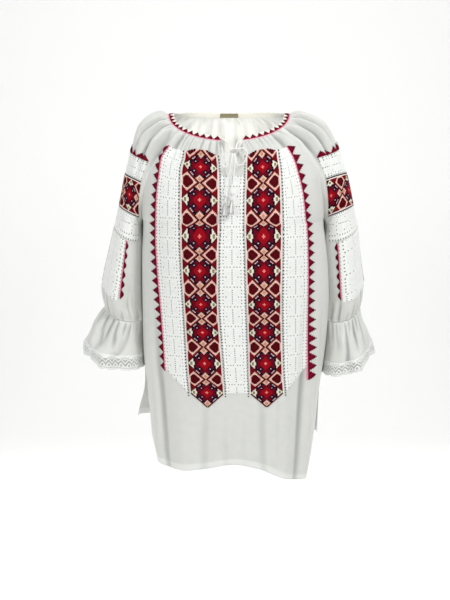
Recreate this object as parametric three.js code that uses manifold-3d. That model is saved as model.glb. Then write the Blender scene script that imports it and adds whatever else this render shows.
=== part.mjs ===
// Embroidered peasant blouse with a drawstring neck, worn on a hollow form.
// Millimetres, +Z up. The front faces -Y and the wearer's left side lies along +X.
// The origin is the middle of the neck opening, at the height where its sides rest on the neck.
import * as THREE from 'three';
import { mergeVertices } from 'three/addons/utils/BufferGeometryUtils.js';
import Module from 'manifold-3d';

// ---- Driving dimensions -------------------------------------------------------------------
const CLOTH = 1.2; // wall of the cotton
const HEM_WALL = 2.2; // the front hem, where the cloth is turned up
const LACE_WALL = 1.0; // edging of the ruffles
const SEAM_INSET = 0.3; // each piece stops this far short of its seam
const ARMPIT_INSET = 2; // and each piece's point under the arm a little further
const LIFT = 0.7; // an applied band clears its panel by this much
const BAND = 0.9; // thickness of an applied band
const BAND_MARGIN = 1.4; // bare cloth beside each edge of a front band
const SLEEVE_MARGIN = 0.4; // and of a sleeve's band, or the label
const TOOTH_PITCH = 18; // of the front zigzags
const FRONT_TEETH = { right: 22, left: 23 };
const SPINE = 0.3; // share of a zigzag's width that its spine takes
const NECKBAND_WIDTH = 10.5;
const LABEL_WALL = 0.8;
const CORD_RADIUS = 1.5;
const TASSEL = { length: 26, neck: 2.2, skirt: 5 };

// Neckline: an oval whose front half tips down towards the chest.
const NECK = { halfWidth: 112, front: 95, frontDrop: 47.4, back: 75, backDrop: 7, side: -1 };

// Levels run down the garment: 0 is the neckline, 8 the armpits, 17 the front hem.
const ARMPIT = 8;
const ELBOW = 13;
const SLIT_END = 3; // the neck slit closes here
const SIDE_SLIT = 13; // the side seams open below here
const FRONT_HEM = 17;
const BACK_HEM = 16;
const HEM_DIP_START = 14.4; // the cloth follows the hem's waves from here down
const TORSO_POWER = 2.4; // flatness of the torso's arc below the arms

const table = (names, rows) =>
  rows.map((row) => Object.fromEntries(names.map((name, i) => [name, row[i]])));

// A sleeve section is an ellipse left open towards the body by its raglan seams. Its outer ridge
// is at outX, outZ; halfX and rise run from its middle to the ridge; open is the half angle.
const SECTION = [
  'level', 'outX', 'outZ', 'halfX', 'rise', 'midY', 'front', 'frontDrop', 'back', 'backDrop', 'open',
];
const SLEEVES = {
  right: table(SECTION, [
    [0, 112, -1, 112, 0, 0, 95, 47.4, 75, 7, 33],
    [1, 140, -5, 109, 2, 1, 86, 63, 73, 17, 42],
    [2, 168, -22, 117, 8, 4, 82, 50, 69, 17, 52],
    [3, 180, -55, 79, 16, 7, 75, 17, 63, 0, 66],
    [4, 188, -90, 48, 18, 9, 68, 1, 57, -8, 82],
    [5, 195, -118, 36, 16, 10, 63, -2, 53, -12, 98],
    [6, 200, -145, 28, 14, 10, 59, -4, 50, -14, 118],
    [7, 205, -168, 24.6, 13, 10, 55, 0, 48, -12, 142],
    [8, 209, -186, 24, 8, 10, 54, 8, 50, -6, 180],
    [9, 216, -216, 26, 13, 10, 56, 12, 52, -6, 180],
    [10, 226, -258, 30.5, 12, 10, 56, 14, 52, -6, 180],
    [11, 235.5, -298, 35, 11, 10, 56, 15, 52, -6, 180],
    [12, 238.5, -324, 36.5, 11, 10, 55, 15, 51, -6, 180],
    [13, 230, -359, 32.5, 10, 10, 48, 14, 46, -6, 180],
  ]),
  left: table(SECTION, [
    [0, 112, -1, 112, 0, 0, 95, 47.4, 75, 7, 33],
    [1, 144, -4, 101, 2, 1, 85, 53, 73, 17, 42],
    [2, 178, -18, 114, 8, 4, 81, 43, 69, 17, 52],
    [3, 199, -50, 89, 16, 7, 74, 14, 63, 0, 66],
    [4, 211, -88, 59, 18, 9, 68, -4, 57, -8, 82],
    [5, 221, -118, 46.5, 16, 10, 63, -7, 53, -12, 98],
    [6, 227, -145, 36.8, 14, 10, 59, -8, 50, -14, 118],
    [7, 232, -168, 31.3, 13, 10, 55, -2, 48, -12, 142],
    [8, 236, -186, 29.5, 8, 10, 54, 8, 50, -6, 180],
    [9, 241.5, -216, 29.2, 13, 10, 56, 12, 52, -6, 180],
    [10, 246, -258, 30, 12, 10, 56, 14, 52, -6, 180],
    [11, 250, -298, 31, 11, 10, 56, 15, 52, -6, 180],
    [12, 252.5, -324, 31.5, 11, 10, 55, 15, 51, -6, 180],
    [13, 243, -359, 27, 10, 10, 48, 14, 46, -6, 180],
  ]),
};

// Ruffles: the same ellipse, from the elastic (0) to the lace (1) and the lace's edge (1.25).
const RUFFLES = {
  right: table(SECTION, [
    [0, 230, -359, 32.5, 10, 10, 48, 14, 46, -6, 180],
    [0.25, 249, -386, 42, 11, 10, 58, 14, 54, -5, 180],
    [0.5, 258, -404, 47, 10, 10, 64, 12, 60, -4, 180],
    [0.75, 265, -418, 51, 9, 10, 69, 9, 65, -4, 180],
    [1, 269, -430, 53, 8, 10, 73, 7, 69, -4, 180],
    [1.25, 267, -455, 52, 8, 10, 74, 8, 70, -4, 180],
  ]),
  left: table(SECTION, [
    [0, 243, -359, 27, 10, 10, 48, 14, 46, -6, 180],
    [0.25, 250, -381, 31, 11, 10, 56, 15, 53, -5, 180],
    [0.5, 258, -399, 35.5, 12, 10, 62, 14, 59, -4, 180],
    [0.75, 263, -416, 38.5, 13, 10, 67, 12, 64, -4, 180],
    [1, 266.5, -431, 41, 14, 10, 71, 10, 68, -4, 180],
    [1.25, 269, -453, 43, 15, 10, 73, 11, 70, -4, 180],
  ]),
};

// Middle of the front and the back, and the flatness of each row's arc, down to the armpits.
const YOKE = table(['level', 'frontY', 'frontZ', 'backY', 'backZ', 'sweep', 'power'], [
  [0, -95, -48.4, 75, -8, 0.838, 2],
  [1, -102, -66, 82, -24, 0.86, 2.05],
  [2, -109, -90, 88, -48, 0.88, 2.1],
  [3, -114, -110, 93, -75, 0.9, 2.15],
  [4, -118, -130, 97, -102, 0.92, 2.2],
  [5, -121.5, -150, 100, -126, 0.95, 2.25],
  [6, -125, -172, 103, -155, 0.975, 2.3],
  [7, -127, -191, 105, -182, 0.992, 2.35],
  [8, -128, -204, 106, -204, 1, 2.4],
]);

// Below the armpits: the sides and the middle of the front panel, then of the back panel.
const TORSO = ['level', 'z', 'rightX', 'leftX', 'sideY', 'midY'];
const FRONT = table(TORSO, [
  [8, -204, -161, 177, 10, -128],
  [9, -245, -160, 180, 9, -130],
  [10, -300, -159.5, 183.5, 7, -129],
  [11, -350, -159, 184.5, 6, -126],
  [12, -405, -158.5, 181, 5, -122],
  [13, -464, -157, 175, 4, -119.5],
  [14, -505, -154, 171, 0, -117.5],
  [15, -560, -149.5, 165, -8, -115],
  [16, -610, -145.5, 157, -16, -111.5],
  [17, -640, -140, 150, -22, -108.5],
]);
const BACK = table(TORSO, [
  [8, -204, -161, 177, 10, 106],
  [9, -245, -160, 180, 9, 107],
  [10, -300, -159.5, 183.5, 7, 104],
  [11, -350, -159, 184.5, 6, 101],
  [12, -405, -158.5, 181, 5, 102],
  [13, -464, -157, 175, 4, 105],
  [14, -505, -159, 172.5, 8, 107],
  [15, -552, -168, 171, 22, 107],
  [16, -600, -175, 169.5, 32, 104],
]);

// Hem heights across each panel, from its right side (-1) to its left side (1).
const FRONT_HEM_LINE = table(['at', 'z'], [
  [-1, -622], [-0.93, -642], [-0.75, -652], [-0.4, -650], [0.02, -639],
  [0.3, -647], [0.62, -666], [0.85, -676], [0.96, -672], [1, -658],
]);
const BACK_HEM_LINE = table(['at', 'z'], [[-1, -577], [-0.5, -592], [0.2, -601], [1, -609]]);

// X of the lines that edge the front's bands; the slit's two lines meet where it closes.
const LINES = [
  'level', 'tipR', 'trimR', 'outerR', 'innerR', 'slitR', 'slitL', 'innerL', 'outerL', 'trimL', 'tipL',
];
const FRONT_LINES = table(LINES, [
  [0, -84, -80, -68, -26, -15, 25, 34, 72, 82, 87],
  [1, -103, -99, -77, -23, -11, 17, 31, 84, 100, 105],
  [2, -119, -114, -81, -20, -6, 8, 30.5, 88, 112, 120],
  [3, -131, -123, -86, -19, -0.5, -0.5, 30, 91, 120, 131],
  [5, -140, -131, -87, -18.5, 2, 2, 28.5, 93, 133, 143],
  [8, -144, -133.5, -87, -18.5, 3, 3, 28, 94.5, 141, 152],
  [9, -142, -132.5, -86.5, -20, 4, 4, 29.5, 94.5, 143, 154],
  [11, -135, -125, -81, -20, 6, 6, 32.5, 94, 144.5, 155],
  [13, -127, -118, -75, -12, 12, 12, 36, 97, 144.5, 155],
  [14.4, -125, -116, -70, -8.5, 15, 15, 38, 100, 143, 153],
  [17, -118, -110, -66, -8, 16, 16, 40, 99, 135, 144],
]);

const YOKE_ROWS = [0, 0.5, 1, 1.4, 2, 3, 3.4, 4.8, 5.8, 7, 8];
const SEAM_ROWS = [9, 9.7, 10.3, 11, 11.6, 12.3, SIDE_SLIT];
const FRONT_ROWS = [...YOKE_ROWS, ...SEAM_ROWS, 14, 14.4, 15.2, 16, 16.8, 16.84, FRONT_HEM];
const BACK_ROWS = [...YOKE_ROWS, ...SEAM_ROWS, 14, 15, BACK_HEM];
const SLEEVE_SPLIT = 9; // the upper sleeve ends and the forearm starts here
const SLEEVE_ROWS = [...YOKE_ROWS, SLEEVE_SPLIT];
const FOREARM_ROWS = [SLEEVE_SPLIT, 10, 11, 12, 12.6, ELBOW];
const RUFFLE_ROWS = [0, 0.3, 0.65, 1];
const LACE_ROWS = [1, 1.25];
const SLEEVE_COLUMNS = 16;
const RUFFLE_COLUMNS = 32;

// ---- Curves -------------------------------------------------------------------------------
// A smooth curve through one column of a table, read at any place along another column.
function along(rows, key, at, place = 'level') {
  let i = 1;
  while (i < rows.length - 1 && rows[i][place] < at) i += 1;
  const [p, q] = [rows[i - 1], rows[i]];
  const before = rows[Math.max(i - 2, 0)];
  const after = rows[Math.min(i + 1, rows.length - 1)];
  const span = q[place] - p[place];
  const slope = (a, b) => (b === a ? 0 : (b[key] - a[key]) / (b[place] - a[place]));
  const t = THREE.MathUtils.clamp((at - p[place]) / span, 0, 1);
  const m0 = slope(before === p ? p : before, q) * span;
  const m1 = slope(p, after === q ? q : after) * span;
  const [t2, t3] = [t * t, t * t * t];
  const values = (2 * t3 - 3 * t2 + 1) * p[key] + (3 * t2 - 2 * t3) * q[key];
  return values + (t3 - 2 * t2 + t) * m0 + (t3 - t2) * m1;
}

const smooth = THREE.MathUtils.smoothstep;
const vector = (x, y, z) => new THREE.Vector3(x, y, z);

// A point of a sleeve or ruffle section. turn is 0 on the outer ridge, 1 at the front seam and
// -1 at the back seam; side is -1 for the wearer's right.
function sectionPoint(rows, side, level, turn) {
  const at = (key) => along(rows, key, level);
  const angle = THREE.MathUtils.degToRad(at('open')) * turn;
  const [c, s] = [Math.cos(angle), Math.sin(angle)];
  const front = s > 0;
  return vector(
    side * (at('outX') + at('halfX') * (c - 1)),
    at('midY') - (front ? at('front') : at('back')) * s,
    at('outZ') + at('rise') * (c - 1) - (front ? at('frontDrop') : at('backDrop')) * Math.abs(s),
  );
}

// How far a row's arc has fallen back from its middle, at -1 to 1 across the panel.
function fallBack(across, sweep, power) {
  const arc = (x) => 1 - (1 - Math.min(Math.abs(x), 1) ** power) ** (1 / power);
  return arc(across * sweep) / arc(sweep);
}

// ---- The master surfaces ------------------------------------------------------------------
// The back's sides follow the front's as far as the side seams go.
const sideRows = (facing, level) => (facing < 0 || level <= SIDE_SLIT ? FRONT : BACK);

// A point of the front (facing -1) or back (facing 1) panel at x on a level.
function panelPoint(facing, level, x) {
  const front = facing < 0;
  if (level <= ARMPIT) {
    const turn = front ? 1 : -1;
    const right = sectionPoint(SLEEVES.right, -1, level, turn);
    const left = sectionPoint(SLEEVES.left, 1, level, turn);
    const across = THREE.MathUtils.clamp((2 * x - left.x - right.x) / (left.x - right.x), -1, 1);
    const seam = right.clone().lerp(left, (across + 1) / 2);
    const back = fallBack(across, along(YOKE, 'sweep', level), along(YOKE, 'power', level));
    const midY = along(YOKE, front ? 'frontY' : 'backY', level);
    const midZ = along(YOKE, front ? 'frontZ' : 'backZ', level);
    return vector(seam.x, midY + (seam.y - midY) * back, midZ + (seam.z - midZ) * back);
  }
  const rows = front ? FRONT : BACK;
  const sides = sideRows(facing, level);
  const at = (key) => along(key === 'z' || key === 'midY' ? rows : sides, key, level);
  const midX = (at('leftX') + at('rightX')) / 2;
  const halfX = (at('leftX') - at('rightX')) / 2;
  const across = THREE.MathUtils.clamp((x - midX) / halfX, -1, 1);
  const back = fallBack(across, 1, TORSO_POWER);
  const hem = front ? FRONT_HEM : BACK_HEM;
  const hemLine = front ? FRONT_HEM_LINE : BACK_HEM_LINE;
  const dip = smooth(level, HEM_DIP_START, hem) * (along(hemLine, 'z', across, 'at') - rows.at(-1).z);
  const armpitStep = 2 * back * (1 - smooth(level, ARMPIT, ARMPIT + 1));
  const y = at('midY') + (at('sideY') - at('midY')) * back;
  return vector(midX + halfX * across, y, at('z') + dip + armpitStep);
}

// The x of a panel's two sides on a level.
function panelSides(facing, level) {
  if (level <= ARMPIT) {
    const turn = facing < 0 ? 1 : -1;
    return [sectionPoint(SLEEVES.right, -1, level, turn).x, sectionPoint(SLEEVES.left, 1, level, turn).x];
  }
  const rows = sideRows(facing, level);
  return [along(rows, 'rightX', level), along(rows, 'leftX', level)];
}

// ---- Sheets -------------------------------------------------------------------------------
// A sheet is a grid of points, level by level, with the triangles between them.
function makeSheet(levels, columns, pointAt, { skip = () => false, slant = () => 0 } = {}) {
  const points = levels.map((level) => Array.from({ length: columns }, (_, j) => pointAt(level, j)));
  const triangles = [];
  for (let i = 0; i + 1 < levels.length; i += 1) {
    for (let j = 0; j + 1 < columns; j += 1) {
      if (skip(levels[i], j)) continue;
      const [a, b, c, d] = [[i, j], [i, j + 1], [i + 1, j + 1], [i + 1, j]];
      if (slant(levels[i], j) > 0) triangles.push([a, b, d], [b, c, d]);
      else triangles.push([a, b, c], [a, c, d]);
    }
  }
  return { points, triangles, levels, columns };
}

const keyOf = (p) => `${Math.round(p.x * 50)},${Math.round(p.y * 50)},${Math.round(p.z * 50)}`;

// Shared normals, so that pieces that meet at a seam are moved out in the same direction.
function shareNormals(sheets) {
  const sums = new Map();
  for (const sheet of sheets) {
    for (const corners of sheet.triangles) {
      const [p, q, r] = corners.map(([i, j]) => sheet.points[i][j]);
      const face = q.clone().sub(p).cross(r.clone().sub(p));
      if (sheet.inwards) face.negate();
      for (const point of [p, q, r]) {
        const key = keyOf(point);
        sums.set(key, (sums.get(key) ?? vector(0, 0, 0)).add(face));
      }
    }
  }
  for (const sheet of sheets) {
    const normalAt = (p) => (sums.get(keyOf(p)) ?? vector(0, 0, 1)).clone().normalize();
    sheet.normals = sheet.points.map((row) => row.map(normalAt));
  }
}

// A closed wall from a list of corner triangles; each corner has a point, a normal and a wall.
function wallGeometry(corners, triangles, { under, over, inset, inwards }) {
  const index = new Map();
  const nodes = [];
  const ids = corners.map((corner) => {
    const key = keyOf(corner.point);
    if (!index.has(key)) {
      index.set(key, nodes.length);
      nodes.push(corner);
    }
    return index.get(key);
  });
  const faces = triangles
    .map((face) => face.map((corner) => ids[corner]))
    .filter(([a, b, c]) => a !== b && b !== c && c !== a)
    .map((face) => (inwards ? [face[0], face[2], face[1]] : face));
  const edges = new Map();
  for (const [a, b, c] of faces) {
    for (const [from, to] of [[a, b], [b, c], [c, a]]) {
      if (edges.has(`${to},${from}`)) edges.delete(`${to},${from}`);
      else edges.set(`${from},${to}`, [from, to]);
    }
  }
  const shift = nodes.map(() => []);
  for (const [from, to] of edges.values()) {
    const run = nodes[to].point.clone().sub(nodes[from].point).normalize();
    const inward = nodes[from].normal.clone().add(nodes[to].normal).cross(run).normalize();
    shift[from].push(inward);
    shift[to].push(inward);
  }
  const placed = nodes.map((node, i) => {
    const point = node.point.clone();
    if (shift[i].length === 2) {
      const [u, v] = shift[i];
      const bisector = u.clone().add(v);
      const reach = inset(node) / Math.max(0.35, bisector.length() / 2);
      point.addScaledVector(bisector.normalize(), reach);
    }
    return point;
  });
  const positions = [];
  for (const reach of [over, under]) {
    placed.forEach((point, i) => {
      const moved = point.clone().addScaledVector(nodes[i].normal, reach(nodes[i]));
      positions.push(moved.x, moved.y, moved.z);
    });
  }
  const n = nodes.length;
  const indices = faces.flatMap(([a, b, c]) => [a, b, c, a + n, c + n, b + n]);
  for (const [a, b] of edges.values()) indices.push(b, a, a + n, b, a + n, b + n);
  const geometry = new THREE.BufferGeometry();
  geometry.setAttribute('position', new THREE.Float32BufferAttribute(positions, 3));
  geometry.setIndex(indices);
  return geometry;
}

const constant = (value) => () => value;

// The wall of a whole sheet.
function sheetWall(sheet, thickness = constant(CLOTH)) {
  const corners = sheet.points.flatMap((row, i) =>
    row.map((point, j) => ({ point, normal: sheet.normals[i][j], level: sheet.levels[i] })));
  const triangles = sheet.triangles.map((face) => face.map(([i, j]) => i * sheet.columns + j));
  return wallGeometry(corners, triangles, {
    under: (node) => -CLOTH / 2 - (thickness(node.level) - CLOTH),
    over: constant(CLOTH / 2),
    inset: ({ level }) => (level === ARMPIT ? ARMPIT_INSET : SEAM_INSET),
    inwards: sheet.inwards,
  });
}

const OUTSIDE = { under: constant(CLOTH / 2 + LIFT), over: constant(CLOTH / 2 + LIFT + BAND) };
const INSIDE = { under: constant(-CLOTH / 2 - LIFT - LABEL_WALL), over: constant(-CLOTH / 2 - LIFT) };

// A band laid on a sheet: all the sheet's triangles whose corners lie inside its outline.
function bandGeometry(sheet, inside, margin = BAND_MARGIN, reach = OUTSIDE) {
  const corners = sheet.points.flatMap((row, i) =>
    row.map((point, j) => ({ point, normal: sheet.normals[i][j] })));
  const triangles = sheet.triangles
    .filter((face) => face.every(([i, j]) => inside(sheet.levels[i], j)))
    .map((face) => face.map(([i, j]) => i * sheet.columns + j));
  return wallGeometry(corners, triangles, { ...reach, inset: constant(margin), inwards: sheet.inwards });
}

// A point and its normal between the grid points of a sheet.
function between(sheet, row, column) {
  const i = Math.min(Math.floor(row), sheet.levels.length - 2);
  const j = Math.min(Math.floor(column), sheet.columns - 2);
  const [u, v] = [row - i, column - j];
  const blend = (grid) => grid[i][j].clone().multiplyScalar((1 - u) * (1 - v))
    .addScaledVector(grid[i][j + 1], (1 - u) * v)
    .addScaledVector(grid[i + 1][j], u * (1 - v))
    .addScaledVector(grid[i + 1][j + 1], u * v);
  return { point: blend(sheet.points), normal: blend(sheet.normals).normalize() };
}

// Places an equal pitch apart down one column of a sheet, as grid rows.
function evenRows(sheet, column, firstRow, pitch, count) {
  const lengths = [0];
  for (let i = firstRow; i + 1 < sheet.levels.length; i += 1) {
    const step = sheet.points[i][column].distanceTo(sheet.points[i + 1][column]);
    lengths.push(lengths.at(-1) + step);
  }
  return Array.from({ length: count + 1 }, (_, k) => {
    let i = 0;
    while (lengths[i + 1] < pitch * k) i += 1;
    return firstRow + i + (pitch * k - lengths[i]) / (lengths[i + 1] - lengths[i]);
  });
}

// A zigzag trim: a narrow spine with a triangular tooth between each two stops. place(stop, out)
// gives a grid row and column, with out 0 on the spine's edge and 1 at the teeth's tips.
function zigzagGeometry(sheet, stops, place) {
  const corners = [];
  const triangles = [];
  const add = (stop, out) => corners.push(between(sheet, ...place(stop, out))) - 1;
  let [edge, valley] = [add(stops[0], 0), add(stops[0], SPINE)];
  for (let k = 1; k < stops.length; k += 1) {
    const tip = add((stops[k - 1] + stops[k]) / 2, 1);
    const [nextEdge, nextValley] = [add(stops[k], 0), add(stops[k], SPINE)];
    triangles.push([edge, valley, nextValley], [edge, nextValley, nextEdge], [valley, tip, nextValley]);
    [edge, valley] = [nextEdge, nextValley];
  }
  const [a, b, c] = triangles[0].map((corner) => corners[corner]);
  const face = b.point.clone().sub(a.point).cross(c.point.clone().sub(a.point));
  const inwards = face.dot(a.normal) < 0;
  return wallGeometry(corners, triangles, { ...OUTSIDE, inset: constant(SEAM_INSET), inwards });
}

// ---- Front panel --------------------------------------------------------------------------
const FRONT_NAMES = [
  'seamR', 'tipR', 'trimR', 'outerR', 'middleR', 'innerR', 'slitR',
  'slitL', 'innerL', 'middleL', 'outerL', 'trimL', 'tipL', 'seamL',
];
const column = (name) => FRONT_NAMES.indexOf(name);

function frontX(level, name) {
  const line = (key) => along(FRONT_LINES, key, level);
  const [rightX, leftX] = panelSides(-1, level);
  if (name === 'seamR') return rightX;
  if (name === 'seamL') return leftX;
  if (name === 'middleR') return (line('outerR') + line('innerR')) / 2;
  if (name === 'middleL') return (line('outerL') + line('innerL')) / 2;
  return line(name);
}

// Gathers just under the neckline: alternate lines of the front stand out a little.
const NECK_GATHER = 1.6;
const frontGather = (level, j) =>
  (j % 2 ? NECK_GATHER : -NECK_GATHER) * smooth(level, 0, 0.5) * (1 - smooth(level, 0.6, 1.4));

const front = makeSheet(FRONT_ROWS, FRONT_NAMES.length, (level, j) => {
  const point = panelPoint(-1, level, frontX(level, FRONT_NAMES[j]));
  if (j > 0 && j < FRONT_NAMES.length - 1) point.y -= frontGather(level, j);
  return point;
}, {
  skip: (level, j) => j === column('slitR') && level < SLIT_END,
  slant: (level, j) => {
    const towardsMiddle = [column('outerR'), column('innerL')].includes(j);
    const fromMiddle = [column('middleR'), column('middleL')].includes(j);
    const low = level > ARMPIT;
    if (j >= column('outerL')) return low ? 1 : 0;
    return (towardsMiddle && !low) || (fromMiddle && low) ? 1 : 0;
  },
});

front.inwards = true;

// ---- Back panel ---------------------------------------------------------------------------
const BACK_COLUMNS = 11;
const BACK_CROWDING = 0.35; // the columns stand closer towards the sides
const back = makeSheet(BACK_ROWS, BACK_COLUMNS, (level, j) => {
  const [rightX, leftX] = panelSides(1, level);
  const even = (2 * j) / (BACK_COLUMNS - 1) - 1;
  const across = THREE.MathUtils.lerp(even, Math.sin((even * Math.PI) / 2), BACK_CROWDING);
  const point = panelPoint(1, level, (leftX + rightX) / 2 + ((leftX - rightX) / 2) * across);
  if (j > 0 && j < BACK_COLUMNS - 1) point.y += frontGather(level, j);
  return point;
});

// ---- Sleeves, ruffles and their lace ------------------------------------------------------
const SLEEVE_GATHER = { neck: 2, elbow: 1.8 };

function makeSleeve(side, rows, levels) {
  const sheet = makeSheet(levels, SLEEVE_COLUMNS + 1, (level, j) => {
    const turn = (2 * j) / SLEEVE_COLUMNS - 1;
    const point = sectionPoint(rows, side, level, turn);
    if (j === 0 || j === SLEEVE_COLUMNS) return point;
    const middle = sectionPoint(rows, side, level, 0);
    middle.x -= side * along(rows, 'halfX', level);
    const puff = SLEEVE_GATHER.neck * smooth(level, 0, 0.6) * (1 - smooth(level, 1, 3))
      + SLEEVE_GATHER.elbow * smooth(level, 12, 12.6) * (1 - 0.5 * smooth(level, 12.6, ELBOW));
    const inner = 1 - smooth(Math.abs(turn), 0.6, 0.85) * smooth(level, ARMPIT, 9);
    return point.addScaledVector(point.clone().sub(middle).normalize(), (j % 2 ? 1 : -1) * puff * inner);
  });
  sheet.inwards = side < 0;
  return sheet;
}

// Ruffle waves stand out less on the side that hangs next to the body.
const WAVES = table(['count', 'depth', 'start'], [[5, 6, 0.4], [8, 3, 1.9]]);

function makeRuffle(side, rows, forearm, levels) {
  const elbow = forearm.points.at(-1);
  const sheet = makeSheet(levels, RUFFLE_COLUMNS + 1, (level, j) => {
    const turn = (2 * (j % RUFFLE_COLUMNS)) / RUFFLE_COLUMNS - 1;
    if (level === 0) {
      const place = ((turn + 1) / 2) * SLEEVE_COLUMNS;
      const first = Math.floor(place);
      return elbow[first].clone().lerp(elbow[(first + 1) % (SLEEVE_COLUMNS + 1)], place - first);
    }
    const point = sectionPoint(rows, side, level, turn);
    const middle = sectionPoint(rows, side, level, 0);
    middle.x -= side * along(rows, 'halfX', level);
    const clear = 1 - 0.9 * smooth(Math.abs(turn), 0.45, 0.8);
    const wave = WAVES.reduce((sum, { count, depth, start }) =>
      sum + depth * Math.cos(count * turn * Math.PI + start), 0);
    const out = point.clone().sub(middle).setZ(0).normalize();
    return point.addScaledVector(out, wave * clear * level ** 1.5);
  });
  sheet.inwards = side < 0;
  return sheet;
}

// ---- Neckband -----------------------------------------------------------------------------
// It runs from one edge of the slit round the neck to the other, along the pieces' top edges.
function makeNeckband(sleeves) {
  const ring = [
    ...front.points[0].slice(0, column('slitR') + 1).reverse(),
    ...[...sleeves.right.points[0]].reverse().slice(1),
    ...back.points[0].slice(1),
    ...sleeves.left.points[0].slice(1),
    ...[...front.points[0].slice(column('slitL'))].reverse().slice(1),
  ];
  return makeSheet([0, 1], ring.length, (level, j) => {
    if (level === 0) return ring[j].clone();
    const foot = ring[j];
    const inward = vector(-foot.x / NECK.halfWidth, -foot.y / NECK.front, 0).normalize();
    const behind = smooth(foot.y, 0, NECK.back);
    const ahead = smooth(-foot.y, 0, NECK.front);
    const lean = 1 - 0.34 * behind - 0.36 * ahead;
    const rise = 0.15 + 0.7 * behind + 0.6 * ahead;
    const edge = foot.clone().addScaledVector(inward, NECKBAND_WIDTH * lean);
    return edge.setZ(edge.z + NECKBAND_WIDTH * rise);
  });
}

// ---- Drawstring: the bow, its two tails and their tassels ---------------------------------
const curve = (points) => new THREE.CatmullRomCurve3(points.map((p) => vector(...p)), false, 'centripetal');

function cordGeometry(points, steps, radius = CORD_RADIUS, sides = 8) {
  const circle = new THREE.Shape();
  for (let i = 0; i < sides; i += 1) {
    const angle = (i / sides) * 2 * Math.PI;
    const [x, y] = [radius * Math.cos(angle), radius * Math.sin(angle)];
    if (i === 0) circle.moveTo(x, y);
    else circle.lineTo(x, y);
  }
  return new THREE.ExtrudeGeometry(circle, { steps, extrudePath: curve(points), bevelEnabled: false });
}

const KNOT = { x: 7.5, y: -114, z: -65, width: 11, depth: 8, height: 9 };

// Each loop leaves the knot, hangs and comes back to it.
const LOOP_RIGHT = [
  [5, -114, -65], [-2, -116, -67], [-10, -117.5, -73], [-14, -118.5, -82], [-12, -119.5, -91],
  [-6, -119.5, -94], [-1, -118.5, -88], [2, -116.5, -78], [5, -115, -69],
];
const LOOP_LEFT = [
  [10, -114, -65], [18, -115.5, -61], [27, -117, -61], [32, -118.5, -69], [29, -119.5, -81],
  [22, -120, -90], [16, -119.5, -91], [12, -118, -82], [9.5, -115.5, -70],
];
// The cord crosses the slit between the ends of the neckband and dips to the knot.
const CROSSING = [
  [-13.4, -90.8, -44], [-9, -94, -46.5], [-3, -102, -53], [5, -112.5, -63], [10, -112.5, -63],
  [14, -102, -54], [19, -93.5, -46], [23.1, -89.4, -43.2],
];
// The tails leave the front of the knot and lie down the chest.
const TAIL_RIGHT = [
  [5.4, -118.4, -70.6], [5, -121.1, -75.8], [4.4, -123, -81.3], [3.6, -123.9, -87.1], [2.6, -124.2, -92.9],
  [1.5, -124.3, -98.7], [0.3, -124.5, -104.4], [-1.1, -124.8, -110.1], [-2.3, -125.5, -115.9],
  [-3.4, -126.3, -121.6], [-4.3, -127.3, -127.3], [-5, -128.4, -133.1], [-5.7, -129.6, -138.8],
  [-6.2, -130.9, -144.5], [-6.6, -132.2, -150.3], [-7, -133.4, -156],
];
const TAIL_LEFT = [
  [9.8, -119.2, -71], [10.4, -121.6, -76], [10.5, -123.2, -81.3], [10.2, -124.2, -86.7],
  [9.8, -124.6, -92.2], [9.3, -124.8, -97.7], [8.8, -125, -103.3], [8.3, -125.2, -108.8],
  [7.8, -125.8, -114.3], [7.2, -126.6, -119.7], [6.7, -127.6, -125.1], [6.1, -128.9, -130.5],
  [5.6, -130.1, -135.9],
  [5.1, -131.4, -141.3], [4.7, -132.7, -146.6], [4.4, -134, -152],
];

async function bowGeometry() {
  const wasm = await Module();
  wasm.setup();
  const solid = (geometry) => {
    geometry.deleteAttribute('normal');
    geometry.deleteAttribute('uv');
    const merged = mergeVertices(geometry);
    return new wasm.Manifold(new wasm.Mesh({
      numProp: 3,
      vertProperties: Float32Array.from(merged.attributes.position.array),
      triVerts: Uint32Array.from(merged.index.array),
    }));
  };
  const knot = new THREE.SphereGeometry(0.5, 10, 6).scale(KNOT.width, KNOT.depth, KNOT.height);
  knot.translate(KNOT.x, KNOT.y, KNOT.z);
  let bow = solid(knot);
  for (const [route, steps] of [[LOOP_RIGHT, 12], [LOOP_LEFT, 12], [CROSSING, 8]]) {
    bow = bow.add(solid(cordGeometry(route, steps)));
  }
  const mesh = bow.getMesh();
  const geometry = new THREE.BufferGeometry();
  geometry.setAttribute('position', new THREE.Float32BufferAttribute(mesh.vertProperties, 3));
  geometry.setIndex(new THREE.Uint32BufferAttribute(mesh.triVerts, 1));
  return geometry;
}

// A tassel hangs from the end of its tail: a small knot above a flared skirt of threads.
function tasselGeometry(end) {
  const { length, neck, skirt } = TASSEL;
  const profile = [
    [0, 0], [neck + 1, -1], [neck + 1.6, -3], [neck, -6], [neck + 0.6, -8],
    [skirt - 0.8, -length * 0.6], [skirt, -length], [0, -length],
  ].map(([r, z]) => new THREE.Vector2(r, z));
  const geometry = new THREE.LatheGeometry(profile.reverse(), 8);
  geometry.rotateX(Math.PI / 2);
  const [x, y, z] = end;
  return geometry.translate(x, y, z - CORD_RADIUS * 0.3);
}

// ---- Materials ----------------------------------------------------------------------------
const finish = (color, roughness) => new THREE.MeshStandardMaterial({ color, roughness, metalness: 0 });
const COTTON = finish('#d8d9d6', 0.9);
const DRAWN_THREAD = finish('#eceeea', 0.9);
const EMBROIDERY = finish('#4a2030', 0.85);
const MAROON = finish('#6b0f2a', 0.85);
const CORD = finish('#efeeea', 0.9);
const LABEL_TAPE = finish('#8f8a6f', 0.8);

const group = new THREE.Group();
function addPiece(name, geometry, material) {
  const mesh = new THREE.Mesh(geometry, material);
  mesh.name = name;
  group.add(mesh);
}

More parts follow.
